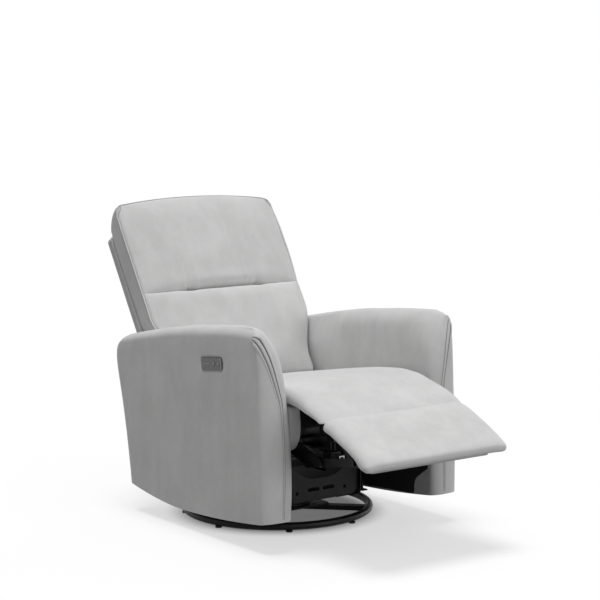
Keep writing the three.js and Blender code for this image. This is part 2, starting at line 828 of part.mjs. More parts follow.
// Each layer: its height, how far inner and outer faces draw in as shares of the arm's width, how
// far front and rear draw back as shares of its length, the depth of the front's inner and outer
// rounding as shares of the width, where across the width the front reaches furthest, and the share
// of the ease that the inner face has there towards the rear, where the back's ears pass it
const armLayerShares = [
  { up: 0, inner: 0.02, outer: 0, front: 0.001, rear: 0.101, in: 0.24, out: 0.24, tip: 0.36, ease: 0 },
  { up: 0.17, inner: 0, outer: 0, front: 0, rear: 0.083, in: 0.22, out: 0.25, tip: 0.36, ease: 0 },
  { up: 0.36, inner: 0, outer: 0, front: 0.004, rear: 0.062, in: 0.22, out: 0.25, tip: 0.35, ease: 0 },
  { up: 0.54, inner: 0, outer: 0, front: 0.012, rear: 0.039, in: 0.22, out: 0.23, tip: 0.36, ease: 0 },
  { up: 0.69, inner: 0, outer: 0, front: 0.021, rear: 0.018, in: 0.27, out: 0.17, tip: 0.41, ease: 0.12 },
  { up: 0.8, inner: 0, outer: 0, front: 0.03, rear: 0.005, in: 0.42, out: 0.08, tip: 0.52, ease: 0.42 },
  { up: 0.875, inner: 0.01, outer: 0, front: 0.04, rear: 0, in: 0.55, out: 0.04, tip: 0.65, ease: 0.8 },
  { up: 0.93, inner: 0.05, outer: 0.005, front: 0.052, rear: 0.006, in: 0.7, out: 0.03, tip: 0.78, ease: 1 },
  { up: 0.965, inner: 0.14, outer: 0.025, front: 0.064, rear: 0.028, in: 0.75, out: 0.04, tip: 0.88, ease: 0.9 },
  { up: 0.988, inner: 0.27, outer: 0.12, front: 0.082, rear: 0.05, in: 0.6, out: 0.06, tip: 0.8, ease: 0.62 },
  { up: 1, inner: 0.42, outer: 0.27, front: 0.11, rear: 0.078, in: 0.35, out: 0.08, tip: 0.7, ease: 0.35 },
];
const armRearTurnShare = 0.25;
const armSideShares = [0.12, 0.28, 0.44, 0.6, 0.76, 0.9];
const armTurnSteps = 3;
const armNoseIndex = armSideShares.length + armTurnSteps;

function armRing(layer) {
  const length = armRearY - armFrontY;
  const inX = armInnerX + layer.inner * armWidth;
  const outX = armInnerX + armWidth * (1 - layer.outer);
  const noseX = armInnerX + armWidth * layer.tip;
  const noseY = armFrontY + layer.front * length;
  const rearY = armRearY - layer.rear * length;
  const inTurn = layer.in * armWidth;
  const outTurn = layer.out * armWidth;
  const rearTurn = armRearTurnShare * (outX - inX);
  const plan = [];
  const quarter = [0, 1, 2].map((step) => (step * Math.PI) / 2 / armTurnSteps);
  const sideStart = rearY - rearTurn;
  armSideShares.forEach((share) => {
    plan.push([inX, sideStart + (noseY + inTurn - sideStart) * share]);
  });
  quarter.forEach((turn) => {
    plan.push([noseX - (noseX - inX) * Math.cos(turn), noseY + inTurn * (1 - Math.sin(turn))]);
  });
  plan.push([noseX, noseY]);
  [...quarter].reverse().forEach((turn) => {
    plan.push([noseX + (outX - noseX) * Math.cos(turn), noseY + outTurn * (1 - Math.sin(turn))]);
  });
  [...armSideShares].reverse().forEach((share) => {
    plan.push([outX, sideStart + (noseY + outTurn - sideStart) * share]);
  });
  quarter.forEach((turn) => {
    plan.push([outX - rearTurn * (1 - Math.cos(turn)), rearY - rearTurn * (1 - Math.sin(turn))]);
  });
  [...quarter].reverse().forEach((turn) => {
    plan.push([inX + rearTurn * (1 - Math.cos(turn)), rearY - rearTurn * (1 - Math.sin(turn))]);
  });
  return plan.map(([x, y]) => {
    const low = armBottom(y);
    const nearInside = Math.max(0, 1 - (x - inX) / (armWidth / 2));
    const ease = armEase * layer.ease * nearInside * smooth((y - armEaseY) / armEaseBlend);
    return new THREE.Vector3(x + ease, y, low + (armTop(y) - low) * layer.up);
  });
}

function arm(side) {
  const skin = loft(armLayerShares.map(armRing), armNoseIndex);
  if (side > 0) return node("arm_left", skin, "fabric");
  const mirrored = solid(skin).mirror([1, 0, 0]);
  const recess = controlGroup(
    box(
      controlProud - controlGauge - fitGap,
      cutOverrun,
      -controlLength / 2 - fitGap,
      controlLength / 2 + fitGap,
      -controlHeight / 2 - fitGap,
      controlHeight / 2 + fitGap,
    ).rotateZ(Math.PI),
  );
  return node("arm_right", cut(geometryOf(mirrored), recess), "fabric");
}

// Moves a piece made around the control plate's centre to its place on the right arm's outer face
function controlGroup(geometry) {
  const tilt = THREE.MathUtils.degToRad(-controlTilt);
  return geometry.rotateX(tilt).translate(-chairWidth / 2, controlY, controlZ);
}

function armLiner(side) {
  const x0 = side > 0 ? armInnerX - fitGap - linerGauge : -armInnerX + fitGap;
  const low = (y) => armBottom(y) + linerGauge;
  const face = outline([
    [linerFrontY, low(linerFrontY), pinRadius],
    [0, low(0), linerRound],
    [linerRearY, low(linerRearY), pinRadius],
    [linerRearY, linerTopZ, pinRadius],
    [linerNoseY, linerTopZ, pinRadius],
    [linerNoseY, linerNoseZ, pinRadius],
    [linerFrontY, linerStepZ, linerRound / 2],
  ]);
  return node(`arm_liner_${side > 0 ? "left" : "right"}`, sidePlate(face, x0, x0 + linerGauge), "lining");
}

// Hinge plates on the seat rails for the back
function reclineBracket(side) {
  const foot = seatFrontY + seatLength;
  const top = seatLine(foot, deckTop);
  const face = outline([
    [foot - 3 * linkWidth, top - 2 * linkWidth, pinRadius],
    [foot, top - 2.5 * linkWidth, linkWidth],
    [reclineY + linkWidth / 2, reclineZ - linkWidth / 2, linkWidth / 2],
    [reclineY + linkWidth / 2, reclineZ + linkWidth / 2, linkWidth / 2],
    [reclineY - linkWidth / 2, reclineZ + linkWidth / 2, linkWidth / 2],
    [foot, top - pinRadius, linkWidth],
    [foot - 3 * linkWidth, top - linkWidth / 4, pinRadius],
  ]);
  face.holes.push(roundHole(reclineY, reclineZ, boreRadius));
  const x0 = side > 0 ? reclineBracketX : -reclineBracketX - plateGauge;
  const plate = sidePlate(face, x0, x0 + plateGauge);
  return node(`recline_bracket_${side > 0 ? "left" : "right"}`, plate, "steel");
}

// Motor at the rear of a drive rail, between the side plates
function motor() {
  const group = new THREE.Group();
  const half = railSize / 2;
  const bore = half - plateGauge;
  const start = driveRailFrontY - cutOverrun;
  const end = driveRailRearY + cutOverrun;
  const tube = cut(
    box(-half, half, driveRailFrontY, driveRailRearY, driveRailZ - half, driveRailZ + half),
    box(-bore, bore, start, end, driveRailZ - bore, driveRailZ + bore),
  );
  group.add(node("drive_rail", tube, "steel"));
  const y0 = driveRailRearY + fitGap;
  const gearCase = frontPlate(
    outline([
      [-motorWidth / 2, driveRailZ - motorHeight / 2, pinRadius],
      [motorWidth / 2, driveRailZ - motorHeight / 2, pinRadius],
      [motorWidth / 2, driveRailZ + motorHeight / 2, 2 * pinRadius],
      [-motorWidth / 2, driveRailZ + motorHeight / 2, 2 * pinRadius],
    ]),
    y0,
    y0 + motorWidth / 2,
  );
  const canZ = driveRailZ - motorHeight / 2 + motorCanRadius;
  const can = new THREE.CylinderGeometry(motorCanRadius, motorCanRadius, motorLength, 20).translate(
    0,
    y0 + motorLength / 2,
    canZ,
  );
  const inletY = y0 + motorLength;
  const inletHalf = inletWidth / 2;
  const socketHalf = inletHalf - inletWall;
  group.add(node("drive_motor", join(gearCase, can), "plastic"));
  const inletEnd = inletY + fitGap + inletDepth;
  const inlet = cut(
    box(-inletHalf, inletHalf, inletY + fitGap, inletEnd, canZ - inletHalf, canZ + inletHalf),
    box(
      -socketHalf,
      socketHalf,
      inletY + inletWall,
      inletEnd + cutOverrun,
      canZ - socketHalf,
      canZ + socketHalf,
    ),
  );
  group.add(node("power_inlet", inlet, "plastic"));
  return group;
}

// Cross strap that hangs the drive rail and motor between the side plates
function driveStraps() {
  const x = mechPlateX - fitGap;
  const top = driveRailZ - railSize / 2 - fitGap;
  const places = { front: strapFrontY, rear: strapRearY };
  return Object.entries(places).map(([end, y]) =>
    node(`drive_strap_${end}`, box(-x, x, y, y + crossTube, top - crossTube / 2, top), "steel"),
  );
}

// Place of the crank pin beside the drive tube, at rest
const crankTurn = THREE.MathUtils.degToRad(crankMid);
const crankPinY = rearPivotY - crankRadius * Math.sin(crankTurn);
const crankPinZ = rearPivotZ - crankRadius * Math.cos(crankTurn);

function driveBlock() {
  const half = railSize / 2 + runningGap;
  const outer = half + blockWall;
  const y0 = crankPinY - blockLength / 2;
  const sleeve = cut(
    box(-outer, outer, y0, y0 + blockLength, driveRailZ - outer, driveRailZ + outer),
    box(-half, half, y0 - cutOverrun, y0 + blockLength + cutOverrun, driveRailZ - half, driveRailZ + half),
  );
  const earX = crankGauge / 2 + runningGap;
  const ears = [1, -1].map((side) => {
    const face = outline([
      [crankPinY - 2 * crankPin, driveRailZ + outer - weldSink],
      [crankPinY + 2 * crankPin, driveRailZ + outer - weldSink],
      [crankPinY + 2 * crankPin, crankPinZ + 2 * crankPin, 2 * crankPin],
      [crankPinY - 2 * crankPin, crankPinZ + 2 * crankPin, 2 * crankPin],
    ]);
    const x0 = side > 0 ? earX : -earX - linkGauge;
    return sidePlate(face, x0, x0 + linkGauge);
  });
  const cross = pin(crankPinY, crankPinZ, -earX - linkGauge / 2, earX + linkGauge / 2, crankPin, 10);
  return node("drive_block", join(sleeve, ...ears, cross), "plastic");
}

// Leg rest linkage. Ends of the links at rest, worked out from the board's bracket.
const restTurn = THREE.MathUtils.degToRad(restPitch);
const boardDrop = restThick + fitGap + legBoard;
const restPivot = restPoint(restBracketIn, -boardDrop - restBracketDrop);
const kneePivot = kneeBelow([rearPivotY, rearPivotZ], restPivot);
const legLinkLength = Math.hypot(kneePivot[0] - rearPivotY, kneePivot[1] - rearPivotZ);
const bracePoint = [
  kneePivot[0] + ((restPivot[0] - kneePivot[0]) * braceAlong) / legLinkLength,
  kneePivot[1] + ((restPivot[1] - kneePivot[1]) * braceAlong) / legLinkLength,
];

// A point of the footrest's own frame (along it from its rear, above its top edge) in the chair
function restPoint(along, up) {
  return [
    restRearY - along * Math.cos(restTurn) - up * Math.sin(restTurn),
    restRearZ - along * Math.sin(restTurn) + up * Math.cos(restTurn),
  ];
}

// The meeting point of two equal links, which lies below the line between their far ends
function kneeBelow(a, b) {
  const span = Math.hypot(b[0] - a[0], b[1] - a[1]);
  const mid = [(a[0] + b[0]) / 2, (a[1] + b[1]) / 2];
  const normal = [(b[1] - a[1]) / span, -(b[0] - a[0]) / span];
  const down = normal[1] < 0 ? 1 : -1;
  return [mid[0] + down * normal[0] * kneeSag, mid[1] + down * normal[1] * kneeSag];
}

function link(name, side, x, from, to, pins, width = linkWidth) {
  const x0 = side > 0 ? x : -x - linkGauge;
  const face = barShape(from[0], from[1], to[0], to[1], width / 2);
  pins.holes.forEach(([y, z]) => face.holes.push(roundHole(y, z, boreRadius)));
  const bar = sidePlate(face, x0, x0 + linkGauge, 6);
  const middle = side * (x + linkGauge / 2);
  const rods = pins.rods.map(([y, z, reach]) => pin(y, z, middle, side * reach, pinRadius));
  return node(`${name}_${side > 0 ? "left" : "right"}`, join(bar, ...rods), "steel");
}

function rearLink(side) {
  const pivot = [rearPivotY, rearPivotZ];
  const reach = frontLinkX + linkGauge + rivetHead / 2;
  return link("leg_link_rear", side, rearLinkX, pivot, kneePivot, {
    holes: [],
    rods: [[...kneePivot, reach]],
  });
}

function frontLink(side) {
  return link("leg_link_front", side, frontLinkX, kneePivot, restPivot, {
    holes: [kneePivot],
    rods: [
      [...restPivot, rearLinkX - rivetHead],
      [...bracePoint, braceX - layerGap / 2],
    ],
  });
}

function brace(side) {
  return link("leg_brace", side, braceX, [bracePivotY, bracePivotZ], bracePoint, {
    holes: [[bracePivotY, bracePivotZ]],
    rods: [],
  });
}

// Drive tube across the chair with the crank that the block pushes
function driveTube() {
  const end = rearLinkX - fitGap;
  const tube = pin(rearPivotY, rearPivotZ, -end, end, driveTubeRadius, 16);
  const tip = [
    rearPivotY - (crankRadius + crankSlotHalf / 2) * Math.sin(crankTurn),
    rearPivotZ - (crankRadius + crankSlotHalf / 2) * Math.cos(crankTurn),
  ];
  const face = barShape(rearPivotY, rearPivotZ, tip[0], tip[1], crankHalfWidth);
  const near = crankRadius * Math.cos(crankTurn) - crankPin / 2;
  face.holes.push(
    slotHole(
      rearPivotY - near * Math.sin(crankTurn),
      rearPivotZ - near * Math.cos(crankTurn),
      crankPinY,
      crankPinZ,
      crankSlotHalf,
    ),
  );
  return node("drive_tube", join(tube, sidePlate(face, -crankGauge / 2, crankGauge / 2, 5)), "steel");
}

function footrest() {
  const group = new THREE.Group();
  group.position.set(0, restRearY, restRearZ);
  group.rotation.x = restTurn;
  const half = (v) => seatHalf - boardMargin * (1 - endRise(v, 0, restEndShares.front));
  const pads = loft(
    pad({
      stations: endStationShares,
      across: 10,
      length: restLength,
      draw: legDraw,
      half,
      lowHalf: (v, down) => half(v) - boardMargin * down,
      edge: (v) => restThick * padEnds(v, restEndShares),
      crown: crownOf(legCrown),
      place: (x, lift, along) => new THREE.Vector3(x, -along, lift - restThick),
    }),
  );
  group.add(node("footrest_pad", pads, "fabric"));
  const edge = seatHalf - 2 * boardMargin;
  const top = -restThick - fitGap;
  const board = flatPlate(
    outline([
      [-edge, -restLength + boardMargin, boardMargin],
      [edge, -restLength + boardMargin, boardMargin],
      [edge, -boardMargin / 2, 0],
      [-edge, -boardMargin / 2, 0],
    ]),
    top - legBoard,
    top,
  );
  group.add(node("footrest_board", board, "lining"));
  [1, -1].forEach((side) => {
    const low = -boardDrop - fitGap;
    const face = outline([
      [-restBracketIn - 2 * linkWidth, low, pinRadius],
      [-restBracketIn - 2 * linkWidth, low - pinRadius, pinRadius / 2],
      [-restBracketIn - linkWidth / 2, low - restBracketDrop - linkWidth / 2, linkWidth / 2],
      [-restBracketIn + linkWidth / 2, low - restBracketDrop - linkWidth / 2, linkWidth / 2],
      [-boardMargin, low - pinRadius, pinRadius / 2],
      [-boardMargin, low, 0],
    ]);
    face.holes.push(roundHole(-restBracketIn, -boardDrop - restBracketDrop, boreRadius));
    const x0 = side > 0 ? rearLinkX : -rearLinkX - linkGauge;
    const web = sidePlate(face, x0, x0 + linkGauge);
    const flange = side > 0 ? [x0 - 3 * linkGauge, x0 + linkGauge] : [x0, x0 + 4 * linkGauge];
    const footEnd = -restBracketIn - 2 * linkWidth;
    const foot = box(flange[0], flange[1], footEnd, -boardMargin, low - linkGauge / 2, low);
    group.add(node(`footrest_bracket_${side > 0 ? "left" : "right"}`, join(web, foot), "steel"));
  });
  return group;
}

// The short pad that bridges the seat and the footrest
function legFlap() {
  const group = new THREE.Group();
  group.position.set(0, flapStartY, flapStartZ);
  group.rotation.x = flapTurn;
  const pads = loft(
    pad({
      stations: endStationShares,
      across: 10,
      length: flapLength,
      draw: legDraw,
      half: () => seatHalf,
      lowHalf: (v, down) => seatHalf - boardMargin * down,
      edge: (v) => flapThick * padEnds(v, flapEndShares),
      crown: crownOf(legCrown),
      place: (x, lift, along) => new THREE.Vector3(x, -along, lift - flapThick),
    }),
  );
  group.add(node("flap_pad", pads, "fabric"));
  const edge = seatHalf - 2 * boardMargin;
  const top = -flapThick - fitGap;
  const board = box(-edge, edge, -flapLength + boardMargin / 2, -boardMargin, top - legBoard, top);
  const low = top - legBoard;
  const knuckles = [1, -1].map((side) => {
    const face = outline([
      [-flapHingeIn - 2 * flapKnuckle, low + weldSink],
      [-flapHingeIn - flapKnuckle, low - flapHingeDrop - flapKnuckle, flapKnuckle],
      [-flapHingeIn + flapKnuckle, low - flapHingeDrop - flapKnuckle, flapKnuckle],
      [-flapHingeIn + flapKnuckle, low + weldSink],
    ]);
    const x0 = side > 0 ? flapHingeX + linkGauge + fitGap : -flapHingeX - 2 * linkGauge - fitGap;
    const rod = pin(
      -flapHingeIn,
      low - flapHingeDrop,
      side * (flapHingeX - rivetHead),
      side * (flapHingeX + 1.5 * linkGauge),
      flapPin,
    );
    return join(sidePlate(face, x0, x0 + linkGauge), rod);
  });
  group.add(node("flap_board", join(board, ...knuckles), "lining"));
  return group;
}

// Back: half width at a place s up it and a depth behind its front. It widens into ears that lie
// over the arms.
function backHalf(s, depth) {
  const share = smooth((s - backEarFoot - backEarLagShare * depth) / backEarRise);
  return backNarrow + (backWide - backNarrow) * share;
}

function back() {
  const group = new THREE.Group();
  group.position.set(0, backSeamY, backSeamZ);
  group.rotation.x = -lean;
  const height = backTop - backBottom;
  const at = (v) => backBottom + v * height;
  const seamShare = -backBottom / height;
  const seamStep = seamWidth / height;
  const stationShares = [0, 0.015, 0.05, 0.12, 0.2, 0.27, 0.31, 0.35, 0.39, 0.44]
    .concat([-1, -0.45, 0, 0.45, 1].map((step) => seamShare + step * seamStep))
    .concat([0.6, 0.7, 0.8, 0.88, 0.94, 0.975, 0.992, 1]);
  const crown = (x, v) => {
    const rise = endRise(v, backSwellShares.foot, backSwellShares.head);
    const swell = Math.max(0, 1 - Math.abs(x) ** 2.8) * rise;
    const dip = Math.max(0, 1 - ((v - seamShare) / seamStep) ** 2) ** 2;
    const tuck = Math.max(0, 1 - Math.abs(Math.abs(x) * backWide - backTuckX) / backTuckReach);
    const draw = 1 - seamFadeShare * Math.abs(x) ** 1.5 + seamTuckShare * tuck;
    return backCrown * swell - seamDepth * dip * draw;
  };
  const corner = (v) => backTaper * 2 * (1 - endRise(v, 0, 0.055));
  const cushion = loft(
    pad({
      stations: stationShares,
      across: 16,
      length: height,
      draw: backDraw,
      half: (v) => backHalf(at(v), 0) - corner(v),
      lowHalf: (v, deep) => backHalf(at(v), backPadDepth * deep) - backTaper * deep - corner(v),
      edge: (v) => backPadDepth * (0.9 + 0.1 * endRise(v, 0.03, 0.03)),
      crown,
      place: (x, lift, along) => {
        const bow = backBow * smooth(along / height) * Math.abs(x / backWide) ** 2.4;
        return new THREE.Vector3(x, backPadDepth - lift, backBottom + along - bow);
      },
    }),
  );
  group.add(node("back_cushion", cushion, "fabric"));
  const y0 = backPadDepth + fitGap;
  const shellFace = (inset) => {
    const top = shellTop - inset;
    const low = backBottom + inset;
    const wide = shellWide - inset;
    const narrow = shellNarrow - inset;
    const right = [
      [narrow, low, shellRound],
      [narrow, shellEarFoot, shellEarRise / 2],
      [wide, shellEarFoot + shellEarRise, shellEarRise / 2],
      [wide, top, 3 * shellRound - inset],
    ];
    const left = [...right].reverse().map(([x, s, radius]) => [-x, s, radius]);
    return outline([...right, ...left]);
  };
  const shell = cut(
    join(frontPlate(shellFace(0), y0, y0 + shellDepth - shellRound, 5),
      frontPlate(shellFace(shellRound / 2), y0, y0 + shellDepth, 5)),
    frontPlate(shellFace(shellWall + shellRound / 2), y0 - cutOverrun, y0 + shellDepth - shellWall, 5),
  );
  group.add(node("back_shell", shell, "fabric"));
  const frameTop = shellTop - shellWall - shellRound - fitGap;
  const frameLow = backBottom + shellWall + shellRound + fitGap;
  const frameFace = outline([
    [-backFrameHalf, frameLow, shellRound],
    [backFrameHalf, frameLow, shellRound],
    [backFrameHalf, frameTop, shellRound],
    [-backFrameHalf, frameTop, shellRound],
  ]);
  const inner = new THREE.Path(
    outline([
      [-backFrameHalf + backFrameWidth, frameLow + backFrameWidth, shellRound],
      [backFrameHalf - backFrameWidth, frameLow + backFrameWidth, shellRound],
      [backFrameHalf - backFrameWidth, frameTop - backFrameWidth, shellRound],
      [-backFrameHalf + backFrameWidth, frameTop - backFrameWidth, shellRound],
    ]).getPoints(3),
  );
  frameFace.holes.push(inner);
  const slats = [];
  const windowHalf = backFrameHalf - backFrameWidth;
  for (let i = 1; i <= backSlatCount; i += 1) {
    const x = -windowHalf + (2 * windowHalf * i) / (backSlatCount + 1) - backSlatWidth / 2;
    slats.push(box(x, x + backSlatWidth, y0 + backFrameDepth / 2, y0 + backFrameDepth - weldSink,
      frameLow + backFrameWidth - weldSink, frameTop - backFrameWidth + weldSink));
  }
  const frame = join(frontPlate(frameFace, y0 + fitGap, y0 + backFrameDepth), ...slats);
  group.add(node("back_frame", frame, "wood"));
  return group;
}

// Hinge plates on the back, with their pins
function backBracket(side) {
  const toBack = (s, depth) => [
    backSeamY + s * Math.sin(lean) + depth * Math.cos(lean),
    backSeamZ + s * Math.cos(lean) - depth * Math.sin(lean),
  ];
  const depth = backPadDepth + shellDepth / 2;
  const [topY, topZ] = toBack(shellEarFoot - 2 * linkWidth, depth);
  const face = barShape(reclineY, reclineZ, topY, topZ, linkWidth / 2);
  const x0 = side > 0 ? backBracketX : -backBracketX - plateGauge;
  const plate = sidePlate(face, x0, x0 + plateGauge, 6);
  const hinge = pin(
    reclineY,
    reclineZ,
    side * (backBracketX + plateGauge / 2),
    side * (reclineBracketX + plateGauge + rivetHead / 2),
    pinRadius,
  );
  const screwIn = side * (shellNarrow + fitGap);
  const screw = pin(topY, topZ, screwIn, side * (backBracketX + plateGauge / 2), pinRadius);
  return node(`back_bracket_${side > 0 ? "left" : "right"}`, join(plate, hinge, screw), "steel");
}

// Control plate with two push buttons and a charging port
function controls() {
  const group = new THREE.Group();
  const inner = controlProud - controlGauge;
  const halfL = controlLength / 2;
  const halfH = controlHeight / 2;
  const face = outline([
    [-halfL, -halfH, controlCorner],
    [halfL, -halfH, controlCorner],
    [halfL, halfH, controlCorner],
    [-halfL, halfH, controlCorner],
  ]);
  const plate = sidePlate(face, -controlProud, -inner);
  const places = { recline: -buttonPitch / 2, footrest: -1.5 * buttonPitch };
  const wells = Object.values(places).map((y) =>
    pin(y, 0, -controlProud - cutOverrun, -inner - plateGauge / 2, buttonRadius + runningGap / 2),
  );
  const portY = buttonPitch;
  const portBox = (grow, x0, x1) => {
    const reach = portLength / 2 + grow;
    const rise = portHeight / 2 + grow;
    return box(x0, x1, portY - reach, portY + reach, -rise, rise);
  };
  const well = portBox(fitGap, -controlProud - cutOverrun, -controlProud + portDepth + fitGap);
  group.add(node("control_plate", controlGroup(cut(plate, ...wells, well)), "plastic"));
  Object.entries(places).forEach(([name, y]) => {
    const capX = -controlProud - buttonProud;
    const cap = pin(y, 0, capX, capX + buttonDepth, buttonRadius, 20);
    group.add(node(`button_${name}`, controlGroup(cap), "button"));
  });
  const port = cut(
    portBox(0, -controlProud, -controlProud + portDepth),
    box(
      -controlProud - cutOverrun,
      -controlProud + portDepth / 2,
      portY - portLength / 3,
      portY + portLength / 3,
      -portHeight / 4,
      portHeight / 4,
    ),
  );
  group.add(node("charging_port", controlGroup(port), "button"));
  return group;
}

const sides = [1, -1];
const recliner = new THREE.Group();
recliner.add(ringBase(), turntable(), glideLinks(), glideTray());
recliner.add(...sides.map(mechPlate), seat(), ...sides.map(arm), ...sides.map(armLiner));
recliner.add(...sides.map(reclineBracket), motor(), ...driveStraps(), driveBlock(), driveTube());
recliner.add(...sides.map(rearLink), ...sides.map(frontLink), ...sides.map(brace));
recliner.add(footrest(), legFlap(), back(), ...sides.map(backBracket), controls());

const middle = new THREE.Box3().setFromObject(recliner, true).getCenter(new THREE.Vector3());
recliner.position.set(-middle.x, -middle.y, 0);

export default recliner;
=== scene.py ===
import json
import math

import bpy
import numpy as np
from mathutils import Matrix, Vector, noise
from mathutils.bvhtree import BVHTree


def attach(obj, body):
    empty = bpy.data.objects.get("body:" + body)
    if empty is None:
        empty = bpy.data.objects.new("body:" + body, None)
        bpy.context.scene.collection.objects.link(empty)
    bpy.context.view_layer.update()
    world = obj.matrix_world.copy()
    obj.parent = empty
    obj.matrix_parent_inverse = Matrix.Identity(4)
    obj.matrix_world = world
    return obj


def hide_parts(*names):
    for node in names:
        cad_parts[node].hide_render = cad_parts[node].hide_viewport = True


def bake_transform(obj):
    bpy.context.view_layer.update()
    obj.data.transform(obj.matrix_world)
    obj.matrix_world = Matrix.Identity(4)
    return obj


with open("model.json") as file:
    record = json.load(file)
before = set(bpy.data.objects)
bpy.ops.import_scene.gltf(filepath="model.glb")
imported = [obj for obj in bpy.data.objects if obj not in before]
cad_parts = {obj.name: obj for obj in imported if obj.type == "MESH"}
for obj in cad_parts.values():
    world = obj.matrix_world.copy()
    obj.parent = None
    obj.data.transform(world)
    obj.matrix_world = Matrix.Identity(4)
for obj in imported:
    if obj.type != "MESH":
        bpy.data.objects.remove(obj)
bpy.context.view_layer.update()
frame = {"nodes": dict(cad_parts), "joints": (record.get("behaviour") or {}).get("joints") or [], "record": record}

MM = 0.001
JOINTS = {joint["name"]: joint for joint in frame["joints"]}

# The foot of the swivel axis. All sizes and places below are given about it.
AXIS = np.array([*JOINTS["swivel"]["pos_m"][:2], 0.0])


def place(x, y, z):
    """A point given about the swivel axis in millimetres, in the frame's metres."""
    return tuple(np.array([x, y, z]) * MM + AXIS)


# Camera

CAMERA_AT = (-3627.1, -4973.5, 1470.9)
CAMERA_AZIMUTH = math.radians(-36.8)
CAMERA_ELEVATION = math.radians(7.17)
CAMERA_LENS = 114.40
CAMERA_SENSOR = 36.0


def make_camera():
    data = bpy.data.cameras.new("camera")
    data.sensor_width = CAMERA_SENSOR
    data.lens = CAMERA_LENS
    camera = bpy.data.objects.new("camera", data)
    bpy.context.scene.collection.objects.link(camera)
    level = math.cos(CAMERA_ELEVATION)
    east = -math.sin(CAMERA_AZIMUTH) * level
    north = math.cos(CAMERA_AZIMUTH) * level
    forward = Vector((east, north, -math.sin(CAMERA_ELEVATION)))
    camera.location = place(*CAMERA_AT)
    camera.rotation_mode = "QUATERNION"
    camera.rotation_quaternion = forward.to_track_quat("-Z", "Y")
    bpy.context.scene.camera = camera


# Mesh helpers

SHARP_EDGE = math.radians(55)
SPLINE_STEPS = 24
SNAP_REACH = 3
NOISE_SHIFT = (1.0, 1.7, 2.3)
EVEN = (1.0, 1.0, 1.0)


def smoothstep(t):
    t = np.clip(t, 0.0, 1.0)
    return t * t * (3.0 - 2.0 * t)


def bump(t):
    """One at zero, falling smoothly to nothing on both sides."""
    return np.exp(-(t**2))


def read(rows, at):
    """The value at a place, from rows of (place, value)."""
    return np.interp(at, *np.array(rows, float).T)


def mesh_object(name, points, faces, material, levels=0):
    """A smooth mesh object from points in millimetres about the swivel axis."""
    mesh = bpy.data.meshes.new(name)
    mesh.from_pydata((np.asarray(points) * MM + AXIS).tolist(), [], faces)
    mesh.validate()
    mesh.polygons.foreach_set("use_smooth", [True] * len(mesh.polygons))
    if not levels:
        mesh.set_sharp_from_angle(angle=SHARP_EDGE)
    mesh.update()
    obj = bpy.data.objects.new(name, mesh)
    bpy.context.scene.collection.objects.link(obj)
    mesh.materials.append(material)
    if levels:
        modifier = obj.modifiers.new("smooth", "SUBSURF")
        modifier.levels = levels
        modifier.render_levels = levels
    return obj


def stops(length, radius, middle, steps):
    """Places along one axis of a rounded box, closer together in its rounded ends."""
    inner = length / 2 - radius
    ends = [inner + radius * math.tan(math.pi / 4 * i / steps) for i in range(1, steps + 1)]
    return np.array([-e for e in reversed(ends)] + list(np.linspace(-inner, inner, middle + 1)) + ends)


def rounded_box(size, radius, middle, steps=5):
    """Points and faces of a box with round edges, about its centre."""
    axes = [stops(size[k], radius, middle[k], steps) for k in range(3)]
    last = [len(a) - 1 for a in axes]
    index = {}
    points = []

    def at(key):
        if key not in index:
            index[key] = len(points)
            points.append([axes[k][key[k]] for k in range(3)])
        return index[key]

    faces = []
    for k in range(3):
        a, b = (k + 1) % 3, (k + 2) % 3
        for side in (0, last[k]):
            for i in range(last[a]):
                for j in range(last[b]):
                    quad = []
                    for da, db in ((0, 0), (1, 0), (1, 1), (0, 1)):
                        key = [0, 0, 0]
                        key[k], key[a], key[b] = side, i + da, j + db
                        quad.append(at(tuple(key)))
                    faces.append(quad if side else quad[::-1])
    points = np.array(points)
    inner = np.array(size) / 2 - radius
    core = np.clip(points, -inner, inner)
    out = points - core
    length = np.linalg.norm(out, axis=1, keepdims=True)
    points = np.where(length > 1e-9, core + out / np.maximum(length, 1e-9) * radius, points)
    return points, faces


def wobble(points, scale, seed):
    """Smooth noise from -1 to 1 at points in millimetres."""
    shift = Vector([seed * k for k in NOISE_SHIFT])
    return np.array([noise.noise(Vector(p) / scale + shift) for p in points])


def ripples(points, *waves):
    """Waves of noise added up; each has a height, a length, a seed and a stretch of the points."""
    return sum(high * wobble(points * np.array(stretch), long, seed) for high, long, seed, stretch in waves)


def ring_faces(rings, count):
    """The faces between rings of count points each."""
    faces = []
    for i in range(rings - 1):
        for k in range(count):
            a, b = i * count + k, i * count + (k + 1) % count
            faces.append([a, b, b + count, a + count])
    return faces


def loft(rings, tip):
    """A closed skin over rings; the end rings close as strips that run back from the index tip."""
    count = len(rings[0])
    faces = ring_faces(len(rings), count)
    for which in (0, len(rings) - 1):
        strip = []
        for j in range((count - 1) // 2):
            quad = [tip - j, tip + j, tip + j + 1, tip - j - 1]
            quad = quad[1:] if j == 0 else quad
            strip.append([which * count + q % count for q in quad])
        faces += [f[::-1] for f in strip] if which == 0 else strip
    return np.concatenate(rings), faces


def catmull(a, b, c, d, t):
    """The smooth curve from b to c, at the share t."""
    cubic = -a + 3 * b - 3 * c + d
    square = 2 * a - 5 * b + 4 * c - d
    return 0.5 * (2 * b + (c - a) * t + square * t**2 + cubic * t**3)


